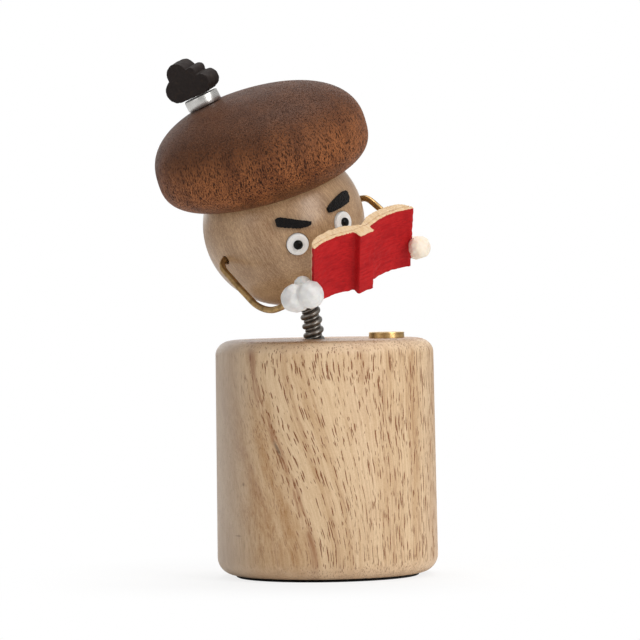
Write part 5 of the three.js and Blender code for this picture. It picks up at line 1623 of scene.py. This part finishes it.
class AUTOMATON_OT_crank(bpy.types.Operator):
    """Make the crank's bush, arm, screw, pin and knob"""
    bl_idname = "automaton.crank"
    bl_label = "Crank"

    def execute(self, context):
        make_crank()
        return {"FINISHED"}


class AUTOMATON_OT_neck(bpy.types.Operator):
    """Wind the neck's two coils"""
    bl_idname = "automaton.neck"
    bl_label = "Neck coils"

    def execute(self, context):
        make_neck()
        return {"FINISHED"}


class AUTOMATON_OT_head(bpy.types.Operator):
    """Turn the head and drill its sockets"""
    bl_idname = "automaton.head"
    bl_label = "Head"

    def execute(self, context):
        make_head()
        return {"FINISHED"}


class AUTOMATON_OT_eyes(bpy.types.Operator):
    """Make the eye discs and the pupils"""
    bl_idname = "automaton.eyes"
    bl_label = "Eyes"

    def execute(self, context):
        make_eyes()
        return {"FINISHED"}


class AUTOMATON_OT_eyebrows(bpy.types.Operator):
    """Cut the felt eyebrows"""
    bl_idname = "automaton.eyebrows"
    bl_label = "Eyebrows"

    def execute(self, context):
        make_eyebrows()
        return {"FINISHED"}


class AUTOMATON_OT_arms(bpy.types.Operator):
    """Bend the brass wire arms"""
    bl_idname = "automaton.arms"
    bl_label = "Arms"

    def execute(self, context):
        make_arms()
        return {"FINISHED"}


class AUTOMATON_OT_hat(bpy.types.Operator):
    """Turn the hat and seat it on the head"""
    bl_idname = "automaton.hat"
    bl_label = "Hat"

    def execute(self, context):
        make_hat()
        return {"FINISHED"}


class AUTOMATON_OT_cloud(bpy.types.Operator):
    """Make the magnet and the cloud on it"""
    bl_idname = "automaton.cloud"
    bl_label = "Magnet and cloud"

    def execute(self, context):
        make_magnet_and_cloud()
        return {"FINISHED"}


class AUTOMATON_OT_book(bpy.types.Operator):
    """Make the book's covers and pages"""
    bl_idname = "automaton.book"
    bl_label = "Book"

    def execute(self, context):
        make_book()
        return {"FINISHED"}


class AUTOMATON_OT_hands(bpy.types.Operator):
    """Mould the hands round the book and the arms"""
    bl_idname = "automaton.hands"
    bl_label = "Hands"

    def execute(self, context):
        make_hands()
        return {"FINISHED"}


class AUTOMATON_OT_stage(bpy.types.Operator):
    """Set up the floor, the lamps and the camera"""
    bl_idname = "automaton.stage"
    bl_label = "Stage"

    def execute(self, context):
        make_stage()
        return {"FINISHED"}


PIECES = (
    AUTOMATON_OT_base, AUTOMATON_OT_underside, AUTOMATON_OT_disc, AUTOMATON_OT_works, AUTOMATON_OT_crank,
    AUTOMATON_OT_neck, AUTOMATON_OT_head, AUTOMATON_OT_eyes, AUTOMATON_OT_eyebrows, AUTOMATON_OT_arms,
    AUTOMATON_OT_hat, AUTOMATON_OT_cloud, AUTOMATON_OT_book, AUTOMATON_OT_hands, AUTOMATON_OT_stage,
)


class AUTOMATON_PT_pieces(bpy.types.Panel):
    """The automaton's pieces"""
    bl_idname = "AUTOMATON_PT_pieces"
    bl_label = "Automaton"
    bl_space_type = "VIEW_3D"
    bl_region_type = "UI"
    bl_category = "Automaton"

    def draw(self, context):
        for kind in PIECES:
            self.layout.operator(kind.bl_idname)


GROUPS = (BaseSizes, CrankSizes, NeckSizes, HeadSizes, HatSizes, BookSizes, Colours, AutomatonSettings)


def register():
    for kind in (*GROUPS, *PIECES, AUTOMATON_PT_pieces):
        bpy.utils.register_class(kind)
    bpy.types.Scene.automaton = PointerProperty(type=AutomatonSettings)


def unregister():
    del bpy.types.Scene.automaton
    for kind in reversed((*GROUPS, *PIECES, AUTOMATON_PT_pieces)):
        bpy.utils.unregister_class(kind)


def main():
    register()
    for kind in PIECES:
        group, name = kind.bl_idname.split(".")
        getattr(getattr(bpy.ops, group), name)()
    bpy.context.view_layer.update()


def plain(box):
    return [[float(value) for value in corner] for corner in box]


if __name__ == "__main__":
    main()
